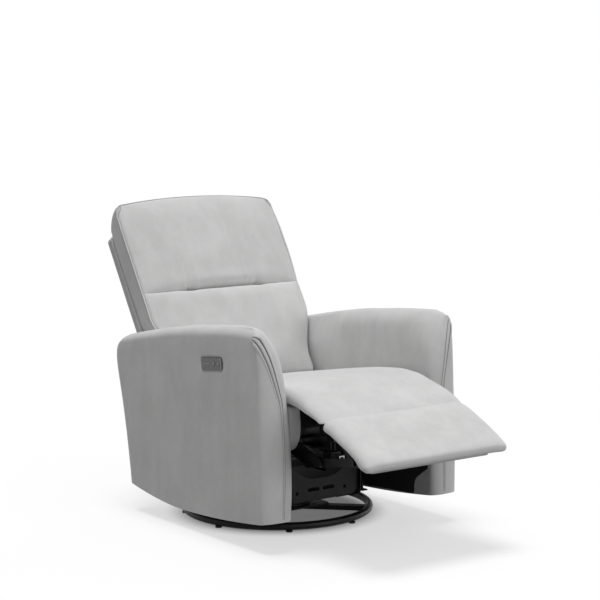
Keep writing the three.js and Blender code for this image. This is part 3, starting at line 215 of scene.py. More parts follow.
def spline(points, count):
    """A smooth curve through points, sampled evenly."""
    p = np.asarray(points, float)
    ext = np.vstack([2 * p[0] - p[1], p, 2 * p[-1] - p[-2]])
    out = []
    for i in range(1, len(ext) - 2):
        for t in np.linspace(0, 1, SPLINE_STEPS, endpoint=False):
            out.append(catmull(*ext[i - 1 : i + 3], t))
    out.append(p[-1])
    out = np.array(out)
    length = arc_lengths(out)
    want = np.linspace(0, length[-1], count)
    return np.stack([np.interp(want, length, out[:, k]) for k in range(p.shape[1])], axis=1)


def arc_lengths(path):
    return np.concatenate([[0], np.cumsum(np.linalg.norm(np.diff(path, axis=0), axis=1))])


def surface_tree(points, faces):
    return BVHTree.FromPolygons([tuple(p) for p in points], faces)


def snap(path, tree, lift=0.0):
    """The path laid on a surface, with its normals there."""
    places, normals = [], []
    for p in path:
        spot, normal, _, _ = tree.find_nearest(Vector(p))
        places.append(np.array(spot) + lift * np.array(normal))
        normals.append(np.array(normal))
    normals = np.array(normals)
    kernel = np.ones(2 * SNAP_REACH + 1) / (2 * SNAP_REACH + 1)
    padded = np.vstack([normals[:1]] * SNAP_REACH + [normals] + [normals[-1:]] * SNAP_REACH)
    smooth = np.stack([np.convolve(padded[:, k], kernel, "valid") for k in range(3)], axis=1)
    return np.array(places), smooth / np.linalg.norm(smooth, axis=1, keepdims=True)


def trim(name, path, normals, profile, material, scale=None):
    """A strip of one profile (across, out) swept along a path on a surface, as wide as scale says."""
    path, normals = np.asarray(path), np.asarray(normals)
    along = np.gradient(path, axis=0)
    along /= np.linalg.norm(along, axis=1, keepdims=True)
    across = np.cross(along, normals)
    across /= np.linalg.norm(across, axis=1, keepdims=True)
    out = np.cross(across, along)
    count = len(profile)
    scale = np.ones(len(path)) if scale is None else scale
    rings = [path + scale[:, None] * (a * across + b * out) for a, b in profile]
    points = np.stack(rings, axis=1).reshape(-1, 3)
    faces = ring_faces(len(path), count)
    faces.append(list(range(count))[::-1])
    faces.append([(len(path) - 1) * count + k for k in range(count)])
    return mesh_object(name, points, faces, material)


def round_profile(radius, count=10):
    turns = [2 * math.pi * i / count for i in range(count)]
    return tuple((radius * math.cos(t), radius * math.sin(t)) for t in turns)


def upholster(piece, body):
    """Gives a cloth piece its body."""
    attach(piece, body)


# Materials

# Patterns of noise: how many to the metre, how much detail and how rough
CLOTH_CLOUD = (7.0, 4.0)
CLOTH_BRUSH = (38.0, 3.0, 0.6)
CLOTH_FIBRE = (900.0, 2.0, 0.7)
CLOTH_NAP = (1.6, 5.0, 0.62)
NAP_STRETCH = (11.0, 11.0, 3.0)
CLOTH_WEAVE = 620.0
# How dark each pattern of the cloth gets, and how light
CLOUD_TONES = (0.965, 1.03)
BRUSH_TONES = (0.972, 1.0)
FIBRE_TONES = (0.86, 1.0)
NAP_TONES = (0.928, 0.992)
RUBBED_PATCH = (26.0, 5.0, 0.6)
WOOD_GRAIN = (1.0, 4.0)
WOOD_STRETCH = (6.0, 90.0, 90.0)
WOOD_DARK = (0.34, 0.22, 0.12)
WOOD_LIGHT = (0.55, 0.4, 0.25)
GRAIN_HEIGHT = 0.0008


def new_material(name):
    material = bpy.data.materials.new(name)
    material.use_nodes = True
    nodes = material.node_tree.nodes
    return material, nodes, material.node_tree.links, nodes["Principled BSDF"]


def noise_node(nodes, links, coords, scale, detail, roughness=0.5):
    node = nodes.new("ShaderNodeTexNoise")
    node.inputs["Scale"].default_value = scale
    node.inputs["Detail"].default_value = detail
    node.inputs["Roughness"].default_value = roughness
    links.new(coords, node.inputs["Vector"])
    return node


def stretch_node(nodes, links, coords, stretch):
    """Coordinates that draw a pattern out along the axes whose stretch is small."""
    node = nodes.new("ShaderNodeMapping")
    node.inputs["Scale"].default_value = stretch
    links.new(coords, node.inputs["Vector"])
    return node.outputs["Vector"]


def ramp_node(nodes, links, source, low, high, start=0.3, stop=0.7):
    node = nodes.new("ShaderNodeValToRGB")
    node.color_ramp.elements[0].position = start
    node.color_ramp.elements[1].position = stop
    node.color_ramp.elements[0].color = (*low, 1)
    node.color_ramp.elements[1].color = (*high, 1)
    links.new(source, node.inputs["Fac"])
    return node


def tone_node(nodes, links, source, tones, start=0.3, stop=0.7):
    """A grey that follows a pattern between its dark and its light tone."""
    low, high = tones
    return ramp_node(nodes, links, source, (low,) * 3, (high,) * 3, start, stop).outputs["Color"]


def multiply(nodes, links, first, second):
    node = nodes.new("ShaderNodeMix")
    node.data_type = "RGBA"
    node.blend_type = "MULTIPLY"
    node.inputs["Factor"].default_value = 1.0
    links.new(first, node.inputs["A"])
    links.new(second, node.inputs["B"])
    return node.outputs["Result"]


def bump_node(nodes, links, height, strength, distance):
    node = nodes.new("ShaderNodeBump")
    node.inputs["Strength"].default_value = strength
    node.inputs["Distance"].default_value = distance
    links.new(height, node.inputs["Height"])
    return node


def fabric(name, colour, sheen=0.2, grain=1.0):
    """Short pile cloth: soft mottling, brushed streaks, fine fibre grain and a woven bump."""
    material, nodes, links, shader = new_material(name)
    coords = nodes.new("ShaderNodeTexCoord").outputs["Object"]
    cloud = noise_node(nodes, links, coords, *CLOTH_CLOUD)
    brush = noise_node(nodes, links, coords, *CLOTH_BRUSH)
    fibre = noise_node(nodes, links, coords, *CLOTH_FIBRE)
    nap = noise_node(nodes, links, stretch_node(nodes, links, coords, NAP_STRETCH), *CLOTH_NAP)
    dark, light = [tuple(min(1.0, c * tone) for c in colour) for tone in CLOUD_TONES]
    base = ramp_node(nodes, links, cloud.outputs["Fac"], dark, light)
    streak = tone_node(nodes, links, brush.outputs["Fac"], BRUSH_TONES)
    brushed = tone_node(nodes, links, nap.outputs["Fac"], NAP_TONES, 0.36, 0.62)
    speck = tone_node(nodes, links, fibre.outputs["Fac"], FIBRE_TONES, 0.35, 0.62)
    result = base.outputs["Color"]
    for pattern in (streak, brushed, speck):
        result = multiply(nodes, links, result, pattern)
    links.new(result, shader.inputs["Base Color"])
    shader.inputs["Roughness"].default_value = 0.92
    shader.inputs["Specular IOR Level"].default_value = 0.2
    shader.inputs["Sheen Weight"].default_value = sheen
    shader.inputs["Sheen Roughness"].default_value = 0.45
    weave = nodes.new("ShaderNodeTexVoronoi")
    weave.inputs["Scale"].default_value = CLOTH_WEAVE
    links.new(coords, weave.inputs["Vector"])
    fine = bump_node(nodes, links, weave.outputs["Distance"], 0.35 * grain, 0.0006)
    soft = bump_node(nodes, links, brush.outputs["Fac"], 0.16, 0.004)
    links.new(fine.outputs["Normal"], soft.inputs["Normal"])
    links.new(soft.outputs["Normal"], shader.inputs["Normal"])
    return material


def hard(name, colour, roughness, wear, dents, grain, shine, metallic=0.0):
    """Painted metal or moulded plastic with a fine surface grain and lighter, rubbed patches."""
    material, nodes, links, shader = new_material(name)
    coords = nodes.new("ShaderNodeTexCoord").outputs["Object"]
    patch = noise_node(nodes, links, coords, *RUBBED_PATCH)
    grains = noise_node(nodes, links, coords, grain, 2.0)
    rubbed = tuple(min(1.0, c + wear) for c in colour)
    base = ramp_node(nodes, links, patch.outputs["Fac"], colour, rubbed, 0.5, 0.85)
    links.new(base.outputs["Color"], shader.inputs["Base Color"])
    rough = nodes.new("ShaderNodeMapRange")
    rough.inputs["To Min"].default_value = max(0.02, roughness - 0.1)
    rough.inputs["To Max"].default_value = roughness + 0.12
    links.new(patch.outputs["Fac"], rough.inputs["Value"])
    links.new(rough.outputs["Result"], shader.inputs["Roughness"])
    shader.inputs["Metallic"].default_value = metallic
    shader.inputs["Specular IOR Level"].default_value = shine
    dent = bump_node(nodes, links, grains.outputs["Fac"], dents, GRAIN_HEIGHT)
    links.new(dent.outputs["Normal"], shader.inputs["Normal"])
    return material


def board(name):
    """Plain plywood: long grain lines in a pale brown."""
    material, nodes, links, shader = new_material(name)
    coords = nodes.new("ShaderNodeTexCoord").outputs["Object"]
    grain = noise_node(nodes, links, stretch_node(nodes, links, coords, WOOD_STRETCH), *WOOD_GRAIN)
    base = ramp_node(nodes, links, grain.outputs["Fac"], WOOD_DARK, WOOD_LIGHT)
    links.new(base.outputs["Color"], shader.inputs["Base Color"])
    shader.inputs["Roughness"].default_value = 0.75
    dent = bump_node(nodes, links, grain.outputs["Fac"], 0.2, GRAIN_HEIGHT)
    links.new(dent.outputs["Normal"], shader.inputs["Normal"])
    return material


CLOTH = (0.745, 0.745, 0.742)
cloth = fabric("light_grey_cloth", CLOTH)
# A much darker copy of the cloth: painted shade in the seam lines and welt grooves.
painted_seam_shade = fabric("painted_seam_shade", tuple(0.24 * c for c in CLOTH), 0.05)
# A darker copy of the cloth for the back's shell: painted shade.
shell_painted_shade = fabric("shell_painted_shade", tuple(0.8 * c for c in CLOTH), 0.15)
# A darker copy of the cloth: painted shade on the back's seam, creases, welts and head piping, and on the footrest
# board.
painted_fold_shade = fabric("painted_fold_shade", tuple(0.66 * c for c in CLOTH), 0.1)
# A lighter copy of the cloth for the pipings: painted highlight.
piping_painted_light = fabric("piping_painted_light", tuple(1.12 * c for c in CLOTH), 0.3)
dark_lining = fabric("black_lining", (0.009, 0.009, 0.0095), 0.02, 1.4)
# Hard materials: name, colour, roughness, wear, dents, grains to the metre and shine
black_steel = hard("black_steel", (0.006, 0.006, 0.0064), 0.36, 0.014, 0.15, 220.0, 0.16)
black_plastic = hard("black_plastic", (0.01, 0.01, 0.0105), 0.5, 0.008, 0.2, 500.0, 0.25)
control_grey = hard("control_grey", (0.16, 0.16, 0.163), 0.36, 0.03, 0.06, 700.0, 0.4)
button_grey = hard("button_grey", (0.19, 0.19, 0.193), 0.4, 0.03, 0.05, 700.0, 0.4)
# A pale grey for the buttons' dots and for a painted highlight along the control plate's front end.
bright_marks_and_highlight = hard("bright_marks_and_highlight", (0.46, 0.46, 0.46), 0.35, 0.03, 0.04, 700.0, 0.4)
mark_grey = hard("mark_grey", (0.3, 0.3, 0.3), 0.4, 0.02, 0.04, 700.0, 0.4)
rim_dark = hard("rim_dark", (0.085, 0.085, 0.087), 0.4, 0.01, 0.04, 700.0, 0.3)
bare_steel = hard("bare_steel", (0.42, 0.42, 0.41), 0.32, 0.1, 0.1, 300.0, 0.5, metallic=0.9)
plywood = board("plywood")

CAD_MATERIALS = {
    "upholstery": cloth,
    "timber": plywood,
    "lining": dark_lining,
    "black_plastic": black_plastic,
    "grey_plastic": button_grey,
    "black_steel": black_steel,
}
# Nodes that look different from the rest of their slot
OTHER_MATERIALS = {
    "control_plate": control_grey,
    "seat_frame": dark_lining,
    "seat_deck": dark_lining,
    # The footrest board wears the darkened cloth: painted shade of the pad's underside.
    "footrest_board": painted_fold_shade,
    "drive_rail": bare_steel,
}


def dress_cad():
    for part in frame["record"]["subparts"]:
        obj = frame["nodes"][part["node"]]
        material = OTHER_MATERIALS.get(part["node"], CAD_MATERIALS[part["material_slot"]])
        obj.data.materials.clear()
        obj.data.materials.append(material)


# Arms

FLAT_SEAM = ((-2.2, -0.6), (-1.8, 0.5), (1.8, 0.5), (2.2, -0.6))
ARM_CREST = 679.0
ARM_FALL = 88.0
ARM_FALL_FROM = -403.0
ARM_FALL_RUN = 671.0
ARM_DIP = 3.0
ARM_LOW = 92.0
ARM_BELLY = 33.0
ARM_BELLY_REAR = 290.0
ARM_BELLY_FRONT = 450.0
ARM_REAR_TURN = 0.25
ARM_INNER = 275.0
ARM_WIDTH = 110.0
ARM_FRONT = -470.0
ARM_REAR = 389.0
ARM_EASE = 28.0
ARM_EASE_BLEND = 130.0
ARM_SLIM = 11.0
ARM_SLOPE = 15.0
# up, inner, outer, front, rear, inner turn, outer turn, nose, ease
ARM_LAYERS = np.array(
    [
        (0.000, 0.02, 0.000, 0.001, 0.101, 0.24, 0.30, 0.36, 0.00),
        (0.170, 0.00, 0.000, 0.000, 0.083, 0.22, 0.30, 0.36, 0.00),
        (0.360, 0.00, 0.000, 0.004, 0.062, 0.22, 0.30, 0.35, 0.00),
        (0.540, 0.00, 0.000, 0.012, 0.039, 0.22, 0.28, 0.36, 0.00),
        (0.690, 0.00, 0.000, 0.021, 0.018, 0.27, 0.24, 0.41, 0.12),
        (0.800, 0.00, 0.000, 0.030, 0.005, 0.42, 0.18, 0.50, 0.42),
        (0.875, 0.01, 0.000, 0.040, 0.000, 0.55, 0.14, 0.60, 0.80),
        (0.930, 0.05, 0.005, 0.052, 0.006, 0.70, 0.11, 0.70, 1.00),
        (0.965, 0.14, 0.025, 0.064, 0.028, 0.75, 0.09, 0.80, 0.90),
        (0.988, 0.27, 0.120, 0.082, 0.050, 0.60, 0.08, 0.76, 0.62),
        (1.000, 0.42, 0.270, 0.110, 0.078, 0.35, 0.08, 0.68, 0.35),
    ]
)
ARM_SIDE_STEPS = 44
ARM_TURN_STEPS = 9
ARM_TIP = ARM_SIDE_STEPS + ARM_TURN_STEPS
ARM_RINGS = 46
ARM_SWELL = 1.2
ARM_WAVES = ((1.5, 130.0, 3.0), (0.5, 42.0, 9.0))
# The cloth gives way behind the control plate, whose face centre is here
CONTROL_AT = np.array([-387.0, -189.0, 548.0])
CONTROL_HOLLOW = 5.0
HOLLOW_HALF = np.array([66.0, 22.0])
HOLLOW_EDGE = np.array([16.0, 12.0])


def arm_top(y):
    crest = ARM_CREST - ARM_FALL * np.maximum(0, (y - ARM_FALL_FROM) / ARM_FALL_RUN) ** 1.65
    return crest - ARM_DIP * smoothstep(-y / 150) - ARM_DIP * smoothstep((-y - 360) / 90)


def arm_bottom(y):
    share = np.where(y > 0, y / ARM_BELLY_REAR, -y / ARM_BELLY_FRONT)
    return ARM_LOW - ARM_BELLY * (1 - share**1.8)


def arm_ring(layer):
    """One row of the table as a ring round the arm, from its rear along the inside to the nose."""
    up, inner, outer, front, rear, in_turn, out_turn, nose, ease = layer
    length = ARM_REAR - ARM_FRONT
    in_x, out_x = ARM_INNER + inner * ARM_WIDTH, ARM_INNER + ARM_WIDTH * (1 - outer)
    nose_x, nose_y = ARM_INNER + ARM_WIDTH * nose, ARM_FRONT + front * length
    rear_y = ARM_REAR - rear * length
    in_turn, out_turn = in_turn * ARM_WIDTH, out_turn * ARM_WIDTH
    rear_turn = ARM_REAR_TURN * (out_x - in_x)
    start = rear_y - rear_turn
    sides = [(i + 0.5) / ARM_SIDE_STEPS for i in range(ARM_SIDE_STEPS)]
    turns = [math.pi / 2 * i / ARM_TURN_STEPS for i in range(ARM_TURN_STEPS)]
    plan = [(in_x, start + (nose_y + in_turn - start) * t) for t in sides]
    for t in turns:
        plan.append((nose_x - (nose_x - in_x) * math.cos(t), nose_y + in_turn * (1 - math.sin(t))))
    plan.append((nose_x, nose_y))
    for t in reversed(turns):
        plan.append((nose_x + (out_x - nose_x) * math.cos(t), nose_y + out_turn * (1 - math.sin(t))))
    plan += [(out_x, start + (nose_y + out_turn - start) * t) for t in reversed(sides)]
    for t in turns:
        plan.append((out_x - rear_turn * (1 - math.cos(t)), rear_y - rear_turn * (1 - math.sin(t))))
    for t in reversed(turns):
        plan.append((in_x + rear_turn * (1 - math.cos(t)), rear_y - rear_turn * (1 - math.sin(t))))
    x, y = np.array(plan).T
    inward = np.maximum(0, 1 - (x - in_x) / (ARM_WIDTH / 2))
    x = x + ARM_EASE * ease * inward * smoothstep(y / ARM_EASE_BLEND)
    slim = ARM_SLIM * smoothstep((up - 0.25) / 0.5) + ARM_SLOPE * smoothstep((up - 0.8) / 0.2)
    x = x + slim * inward * smoothstep((-y - 250) / 150)
    low = arm_bottom(y)
    return np.stack([x, y, low + (arm_top(y) - low) * up], axis=1)


def arm_layers(count):
    """The table's rows with smooth rows between them."""
    want = np.linspace(0, len(ARM_LAYERS) - 1, count)
    before = 2 * ARM_LAYERS[0] - ARM_LAYERS[1]
    after = 2 * ARM_LAYERS[-1] - ARM_LAYERS[-2]
    ext = np.vstack([before, ARM_LAYERS, after])
    rows = []
    for w in want:
        i = min(int(w), len(ARM_LAYERS) - 2)
        rows.append(np.maximum(catmull(*ext[i : i + 4], w - i), 0))
    return rows


ARM_WELT = [
    (319, -469, 103),
    (317, -470, 193),
    (315, -467, 293),
    (316, -461, 393),
    (319, -455, 453),
    (327, -452, 490),
    (337, -447, 530),
    (348, -442, 570),
    (358, -435, 600),
    (369, -424, 628),
    (378, -414, 645),
    (384, -398, 652),
]
WELT_RIDGE = ((-5.8, -1.0), (-5.0, 2.0), (-3.0, 3.4), (0.0, 3.0), (2.2, 3.4), (4.0, 2.0), (4.8, -1.0))
WELT_PINCH = [(385, -412, 640), (383, -406, 649), (376, -408, 654), (368, -416, 650)]
WELT_GROOVE = ((-9.6, -1.0), (-9.0, 0.7), (9.6, 0.7), (10.4, -1.0))
WELT_LIP = ((-3.6, -1.5), (-2.8, 1.5), (-1.0, 2.0), (2.0, 1.1), (4.5, -1.5))
LIP_OFFSET = 11.0
WELT_STEPS = 150
PINCH_STEPS = 24
WELT_WIDTH = ((0.0, 0.4), (0.45, 0.5), (0.7, 0.85), (0.88, 1.2), (0.96, 1.2), (1.0, 0.5))


def lip_profile(side):
    """The folded edge of one panel beside the welt, on the side that is 1 or -1."""
    profile = [(side * (LIP_OFFSET + a), b) for a, b in WELT_LIP]
    return profile if side > 0 else profile[::-1]


def make_arm(side):
    word = "left" if side > 0 else "right"
    points, faces = loft([arm_ring(r) for r in arm_layers(ARM_RINGS)], ARM_TIP)
    swell = ripples(points, *[(high, long, seed + side, EVEN) for high, long, seed in ARM_WAVES])
    middle = ARM_INNER + ARM_WIDTH / 2
    out = np.sign(points[:, :1] - middle) * np.array([[1.0, 0.0, 0.0]])
    inside = points[:, :1] < middle
    points = points + out * np.minimum(swell, ARM_SWELL)[:, None] * np.where(inside, 0.4, 1.0)
    if side < 0:
        points = points * np.array([-1, 1, 1])
        faces = [f[::-1] for f in faces]
        away = np.abs(points[:, 1:] - CONTROL_AT[1:])
        hollow = np.prod(smoothstep((HOLLOW_HALF - away) / HOLLOW_EDGE), axis=1)
        points[:, 0] += CONTROL_HOLLOW * hollow * (points[:, 0] < -middle)
    skin = mesh_object(f"arm_cover_{word}", points, faces, cloth)
    upholster(skin, "chassis")
    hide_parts(f"arm_{word}")
    tree = surface_tree(points, faces)
    mirror = np.array([side, 1, 1])
    welt = spline(np.array(ARM_WELT) * mirror, WELT_STEPS)
    places, normals = snap(welt, tree, 0.4)
    width = read(WELT_WIDTH, np.linspace(0, 1, WELT_STEPS))
    # The groove strip and the pinch at the welt's top are drawn in darkened cloth: painted shade.
    parts = {
        "groove": (WELT_GROOVE, painted_seam_shade),
        "ridge": (WELT_RIDGE, cloth),
        "lip_a": (lip_profile(1), cloth),
        "lip_b": (lip_profile(-1), cloth),
    }
    for part, (profile, material) in parts.items():
        upholster(trim(f"arm_{part}_{word}", places, normals, profile, material, width), "chassis")
    places, normals = snap(spline(np.array(WELT_PINCH) * mirror, PINCH_STEPS), tree, 0.8)
    taper = 0.3 + 0.9 * np.sin(np.linspace(0, math.pi, PINCH_STEPS))
    upholster(trim(f"arm_pinch_{word}", places, normals, FLAT_SEAM, painted_seam_shade, taper), "chassis")


# Seat and leg rest

SEAT_HALF = 268.0
SEAT_PATH = [
    (122, 431),
    (64, 441),
    (-18, 455),
    (-104, 470),
    (-177, 483),
    (-263, 495),
    (-340, 501),
    (-385, 500),
    (-425, 494),
    (-470, 481),
    (-521, 463),
    (-558, 449),
    (-584, 437),
    (-602, 425),
    (-613, 417),
]
PAD_RADIUS = 17.0
PAD_NOMINAL = 3 * PAD_RADIUS
PAD_STEPS = 260
PAD_ROWS = 4
EDGE_FROM = 226.0
EDGE_BLEND = 14.0
CROWN_AT = 200.0
CROWN_WIDTH = 45.0
# The leg rest's pads are a little wider than the seat between the arms
PAD_FLARE = 1.03


def pad_points(path_yz, half, middle, thick, fall):
    """A pad bent along a path of (y, z), its top on the path.

    thick(x, y) is its depth and fall(x, y) how far its top lies below the path there.
    """
    path = spline(np.asarray(path_yz, float), PAD_STEPS)
    length = arc_lengths(path)
    total = length[-1]
    box, faces = rounded_box((2 * half, total, PAD_NOMINAL), PAD_RADIUS, middle)
    x, along, up = box.T
    s = total / 2 - along
    spot = np.stack([np.interp(s, length, path[:, k]) for k in range(2)], axis=1)
    tangent = np.gradient(path, axis=0)
    tangent /= np.linalg.norm(tangent, axis=1, keepdims=True)
    normal = np.stack([np.interp(s, length, k) for k in (tangent[:, 1], -tangent[:, 0])], axis=1)
    normal /= np.linalg.norm(normal, axis=1, keepdims=True)
    share = (PAD_NOMINAL / 2 - up) / PAD_NOMINAL
    y = spot[:, 0]
    depth = share * thick(x, y) + fall(x, y)
    yz = spot - normal * depth[:, None]
    return np.column_stack([x, yz]), faces


def edge_round(x, half, start):
    """How far a quarter ellipse has fallen at x, from nothing at start to one at half."""
    u = np.clip((np.abs(x) - start) / (half - start), 0, 1)
    return 1 - np.sqrt(np.maximum(0, 1 - u**2))


def side_blend(x, inner, side):
    """Inner across the pad's middle and side at its edges."""
    edge = smoothstep((np.abs(x) - EDGE_FROM + EDGE_BLEND) / (SEAT_HALF - EDGE_FROM))
    return inner + (side - inner) * edge


def side_crown(x):
    """The soft ridges that run along a pad's two sides."""
    return bump((np.abs(x) - CROWN_AT) / CROWN_WIDTH)


# Along the seat, front first: its depth in the middle and at the sides, how far its sides
# lie lower, and how far they turn down
SEAT_MIDDLE = ((-612, 10), (-600, 16), (-560, 33), (-425, 40), (-385, 88), (-340, 94), (122, 100))
SEAT_SIDE = ((-612, 5), (-600, 6), (-580, 9), (-543, 15), (-486, 26), (-437, 36), (-408, 62), (-380, 84))
SEAT_FLAT = ((-600, 2), (-480, 3), (-400, 8), (122, 14))
SEAT_TURN = ((-600, 17), (-480, 19), (-400, 15), (122, 12))
SEAT_CROWN = 2.5
SEAT_REAR_DROP = 9.0
SEAT_WAVES = ((1.5, 60.0, 5.0, (0.6, 1.6, 1.0)), (1.2, 150.0, 6.0, EVEN))


def seat_thick(x, y):
    inner = read(SEAT_MIDDLE, y)
    return side_blend(x, inner, np.minimum(read(SEAT_SIDE, y), inner))


def seat_fall(x, y):
    flat = read(SEAT_FLAT, y) * (np.abs(x) / SEAT_HALF) ** 2.4
    turn = read(SEAT_TURN, y) * edge_round(x, SEAT_HALF, EDGE_FROM)
    crown = SEAT_CROWN * smoothstep((-y - 440) / 60) * side_crown(x)
    rear = SEAT_REAR_DROP * smoothstep((y - 40) / 80)
    return rear + flat + turn - crown


def make_seat():
    points, faces = pad_points(SEAT_PATH, SEAT_HALF, (56, 90, PAD_ROWS), seat_thick, seat_fall)
    ripple = ripples(points, *SEAT_WAVES)
    front = smoothstep((-points[:, 1] - 330) / 80)
    points[:, 0] *= 1 + (PAD_FLARE - 1) * smoothstep((-points[:, 1] - 465) / 70)
    points[:, 2] += ripple * (0.45 + 0.4 * front)
    seat = mesh_object("seat_pad", points, faces, cloth, 1)
    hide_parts("seat_cushion", "flap_pad")
    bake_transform(seat)


REST_PATH = [
    (-597, 417),
    (-606, 421),
    (-620, 419),
    (-644, 412),
    (-676, 399),
    (-714, 381),
    (-752, 361),
    (-787, 341),
    (-808, 326),
    (-819, 308),
]


REST_MIDDLE = ((-819, 36), (-800, 45), (-760, 47), (-620, 45), (-600, 30))
REST_SIDE = ((-819, 30), (-795, 24), (-769, 11), (-726, 8), (-672, 12), (-625, 15), (-600, 8))
REST_TURN = ((-819, 8), (-790, 18), (-700, 23), (-610, 20))
REST_CROWN = 3.0
REST_CORNER_DROP = 4.0
REST_WAVE = (1.1, 55.0, 15.0, (0.6, 1.4, 1.0))


def rest_thick(x, y):
    return side_blend(x, read(REST_MIDDLE, y), read(REST_SIDE, y))


def rest_fall(x, y):
    turn = read(REST_TURN, y) * edge_round(x, SEAT_HALF, EDGE_FROM)
    return turn - REST_CROWN * side_crown(x)


def make_footrest():
    points, faces = pad_points(REST_PATH, SEAT_HALF, (56, 46, PAD_ROWS), rest_thick, rest_fall)
    points[:, 0] *= PAD_FLARE
    corner = smoothstep((np.abs(points[:, 0]) - 215) / 60) * smoothstep((-points[:, 1] - 775) / 45)
    points[:, 2] += ripples(points, REST_WAVE) - REST_CORNER_DROP * corner
    rest = mesh_object("footrest_cover", points, faces, cloth, 1)
    upholster(rest, "footrest")
    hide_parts("footrest_pad")


# Covers on the seat frame's side rails

SEAT_PITCH = math.radians(7.4)
SEAT_FRONT = np.array([-404.0, 484.0])
RAIL_COVER = 2.0
RAIL_INNER = 228.0
RAIL_OUTER = 266.0
RAIL_TOP = -52.0
RAIL_TUCK = 5.0
RAIL_STEPS = 70
RAIL_TURNS = 13
RAIL_WAVE = (0.5, 50.0, 31.0, EVEN)
# The cover's lower edge, along the seat frame and up from it
RAIL_OUTLINE = [
    (-17, -56),
    (-16, -84),
    (-14.5, -112),
    (-4, -152),
    (30, -186),
    (120, -186),
    (330, -180),
    (470, -162),
    (521, -154),
]


def turn_matrix(angle):
    """Turns a column (a, b) from a towards b."""
    return np.array([[math.cos(angle), -math.sin(angle)], [math.sin(angle), math.cos(angle)]])


def seat_frame_point(along, up):
    """A point of the seat frame, along it from its front and above its edge plane, as (y, z)."""
    return SEAT_FRONT + turn_matrix(-SEAT_PITCH) @ np.array([along, up], float)


def make_rail_cover(side):
    word = "left" if side > 0 else "right"
    low = spline([seat_frame_point(a, u) for a, u in RAIL_OUTLINE], RAIL_STEPS)
    tangent = np.gradient(low, axis=0)
    tangent /= np.linalg.norm(tangent, axis=1, keepdims=True)
    outward = np.stack([tangent[:, 1], -tangent[:, 0]], axis=1)
    outward *= -np.sign(outward[RAIL_STEPS // 2, 1])
    along = np.linspace(RAIL_OUTLINE[0][0], RAIL_OUTLINE[-1][0], RAIL_STEPS)
    top = np.array([seat_frame_point(a, RAIL_TOP) for a in along])
    middle = side * (RAIL_INNER + RAIL_OUTER) / 2
    reach = (RAIL_OUTER - RAIL_INNER) / 2 + RAIL_COVER
    rings = []
    for turn in np.linspace(-90, 90, RAIL_TURNS):
        across = math.sin(math.radians(turn))
        hang = math.cos(math.radians(turn)) ** 0.5
        edge = low + outward * (RAIL_COVER * hang - RAIL_TUCK * (1 - hang))
        rings.append(np.column_stack([np.full(RAIL_STEPS, middle + reach * across), edge]))
    first = np.column_stack([np.full(RAIL_STEPS, middle - reach), top])
    last = np.column_stack([np.full(RAIL_STEPS, middle + reach), top])
    rings = [first, *rings, last]
    count = len(rings)
    points = np.stack(rings, axis=1).reshape(-1, 3)
    faces = ring_faces(RAIL_STEPS, count)
    faces.append(list(range(count))[::-1])
    faces.append([(RAIL_STEPS - 1) * count + k for k in range(count)])
    points[:, 0] += ripples(points, RAIL_WAVE)
    cover = mesh_object(f"rail_cover_{word}", points, faces, cloth)
    upholster(cover, "chassis")


# Back

BACK_LEAN = math.radians(31.9)
BACK_SEAM = np.array([312.0, 709.0])
BACK_TOP = 351.0
BACK_BOTTOM = -345.0
BACK_HEIGHT = BACK_TOP - BACK_BOTTOM
BACK_DEPTH = 92.0
BACK_WIDE = 319.0
BACK_NARROW = 258.0
BACK_BOW = 22.0
BACK_TAPER = 14.0
# How far the head's two sides, left and right of the sitter, curve out
BACK_BULGE = (9.0, 2.0)
TUCKS = (-132.0, 140.0)
# Upright folds over the seam: place across, width, height and reach upwards
PLEATS = (
    (-104.0, 6.0, 2.6, 75.0),
    (-156.0, 9.0, 1.6, 40.0),
    (92.0, 6.0, 2.2, 105.0),
    (118.0, 7.0, 1.6, 50.0),
    (160.0, 9.0, 1.4, 40.0),
)
# Each tuck's pinch and the wider dip above it: depth, width, height and place above the seam
TUCK_DIPS = ((15.0, 15.0, 10.0, 3.0), (3.0, 34.0, 26.0, 24.0))
UPPER_CROWN = 32.0
LOWER_CROWN = 36.0
SEAM_GROOVE = 3.5
TUCK_GROOVE = 9.5
SAG_HEIGHT = 7.0
BACK_EDGE_DEPTH = 4.0
BACK_CORNER_DROP = 6.0
BACK_WAVE = (1.6, 75.0, 21.0, EVEN)
SEAM_SQUEEZE = 0.72
SEAM_STEPS = 160
CREASE_STEPS = 20
EDGE_STEPS = 420
PIPING_RADIUS = 2.7
HEAD_ROUND = 78.0


def back_place(x, s, depth):
    """A point of the back's own frame, s up it and depth behind its front, in the chair."""
    y = BACK_SEAM[0] + s * math.sin(BACK_LEAN) + depth * math.cos(BACK_LEAN)
    z = BACK_SEAM[1] + s * math.cos(BACK_LEAN) - depth * math.sin(BACK_LEAN)
    return np.column_stack([x, y, z])


def back_step(x, s, depth):
    """A step in the back's own frame as a step in the chair."""
    ends = back_place(np.array([0.0, x]), np.array([0.0, s]), np.array([0.0, depth]))
    return ends[1] - ends[0]


def back_half(s, depth):
    return BACK_NARROW + (BACK_WIDE - BACK_NARROW) * smoothstep((s + 286 - 0.3 * depth) / 200)


def back_bow(x, s):
    """How far the back's head bows down towards its corners."""
    across = np.abs(x) / BACK_WIDE
    corner = BACK_CORNER_DROP * smoothstep((across - 0.9) / 0.1)
    return smoothstep(s / BACK_TOP) * (BACK_BOW * across**2 + corner)


def rise_and_fall(share, rise, fall):
    """Nothing at 0, one from rise to fall and nothing at 1, with quarter ellipses between."""
    up = np.sqrt(np.clip(1 - (1 - np.clip(share / rise, 0, 1)) ** 2, 0, 1))
    down = np.sqrt(np.clip(1 - (1 - np.clip((1 - share) / (1 - fall), 0, 1)) ** 2, 0, 1))
    return np.minimum(up, down)


def tuck_span(x, margin):
    left, right = TUCKS
    return smoothstep((x - left + margin) / margin) * smoothstep((right + margin - x) / margin)


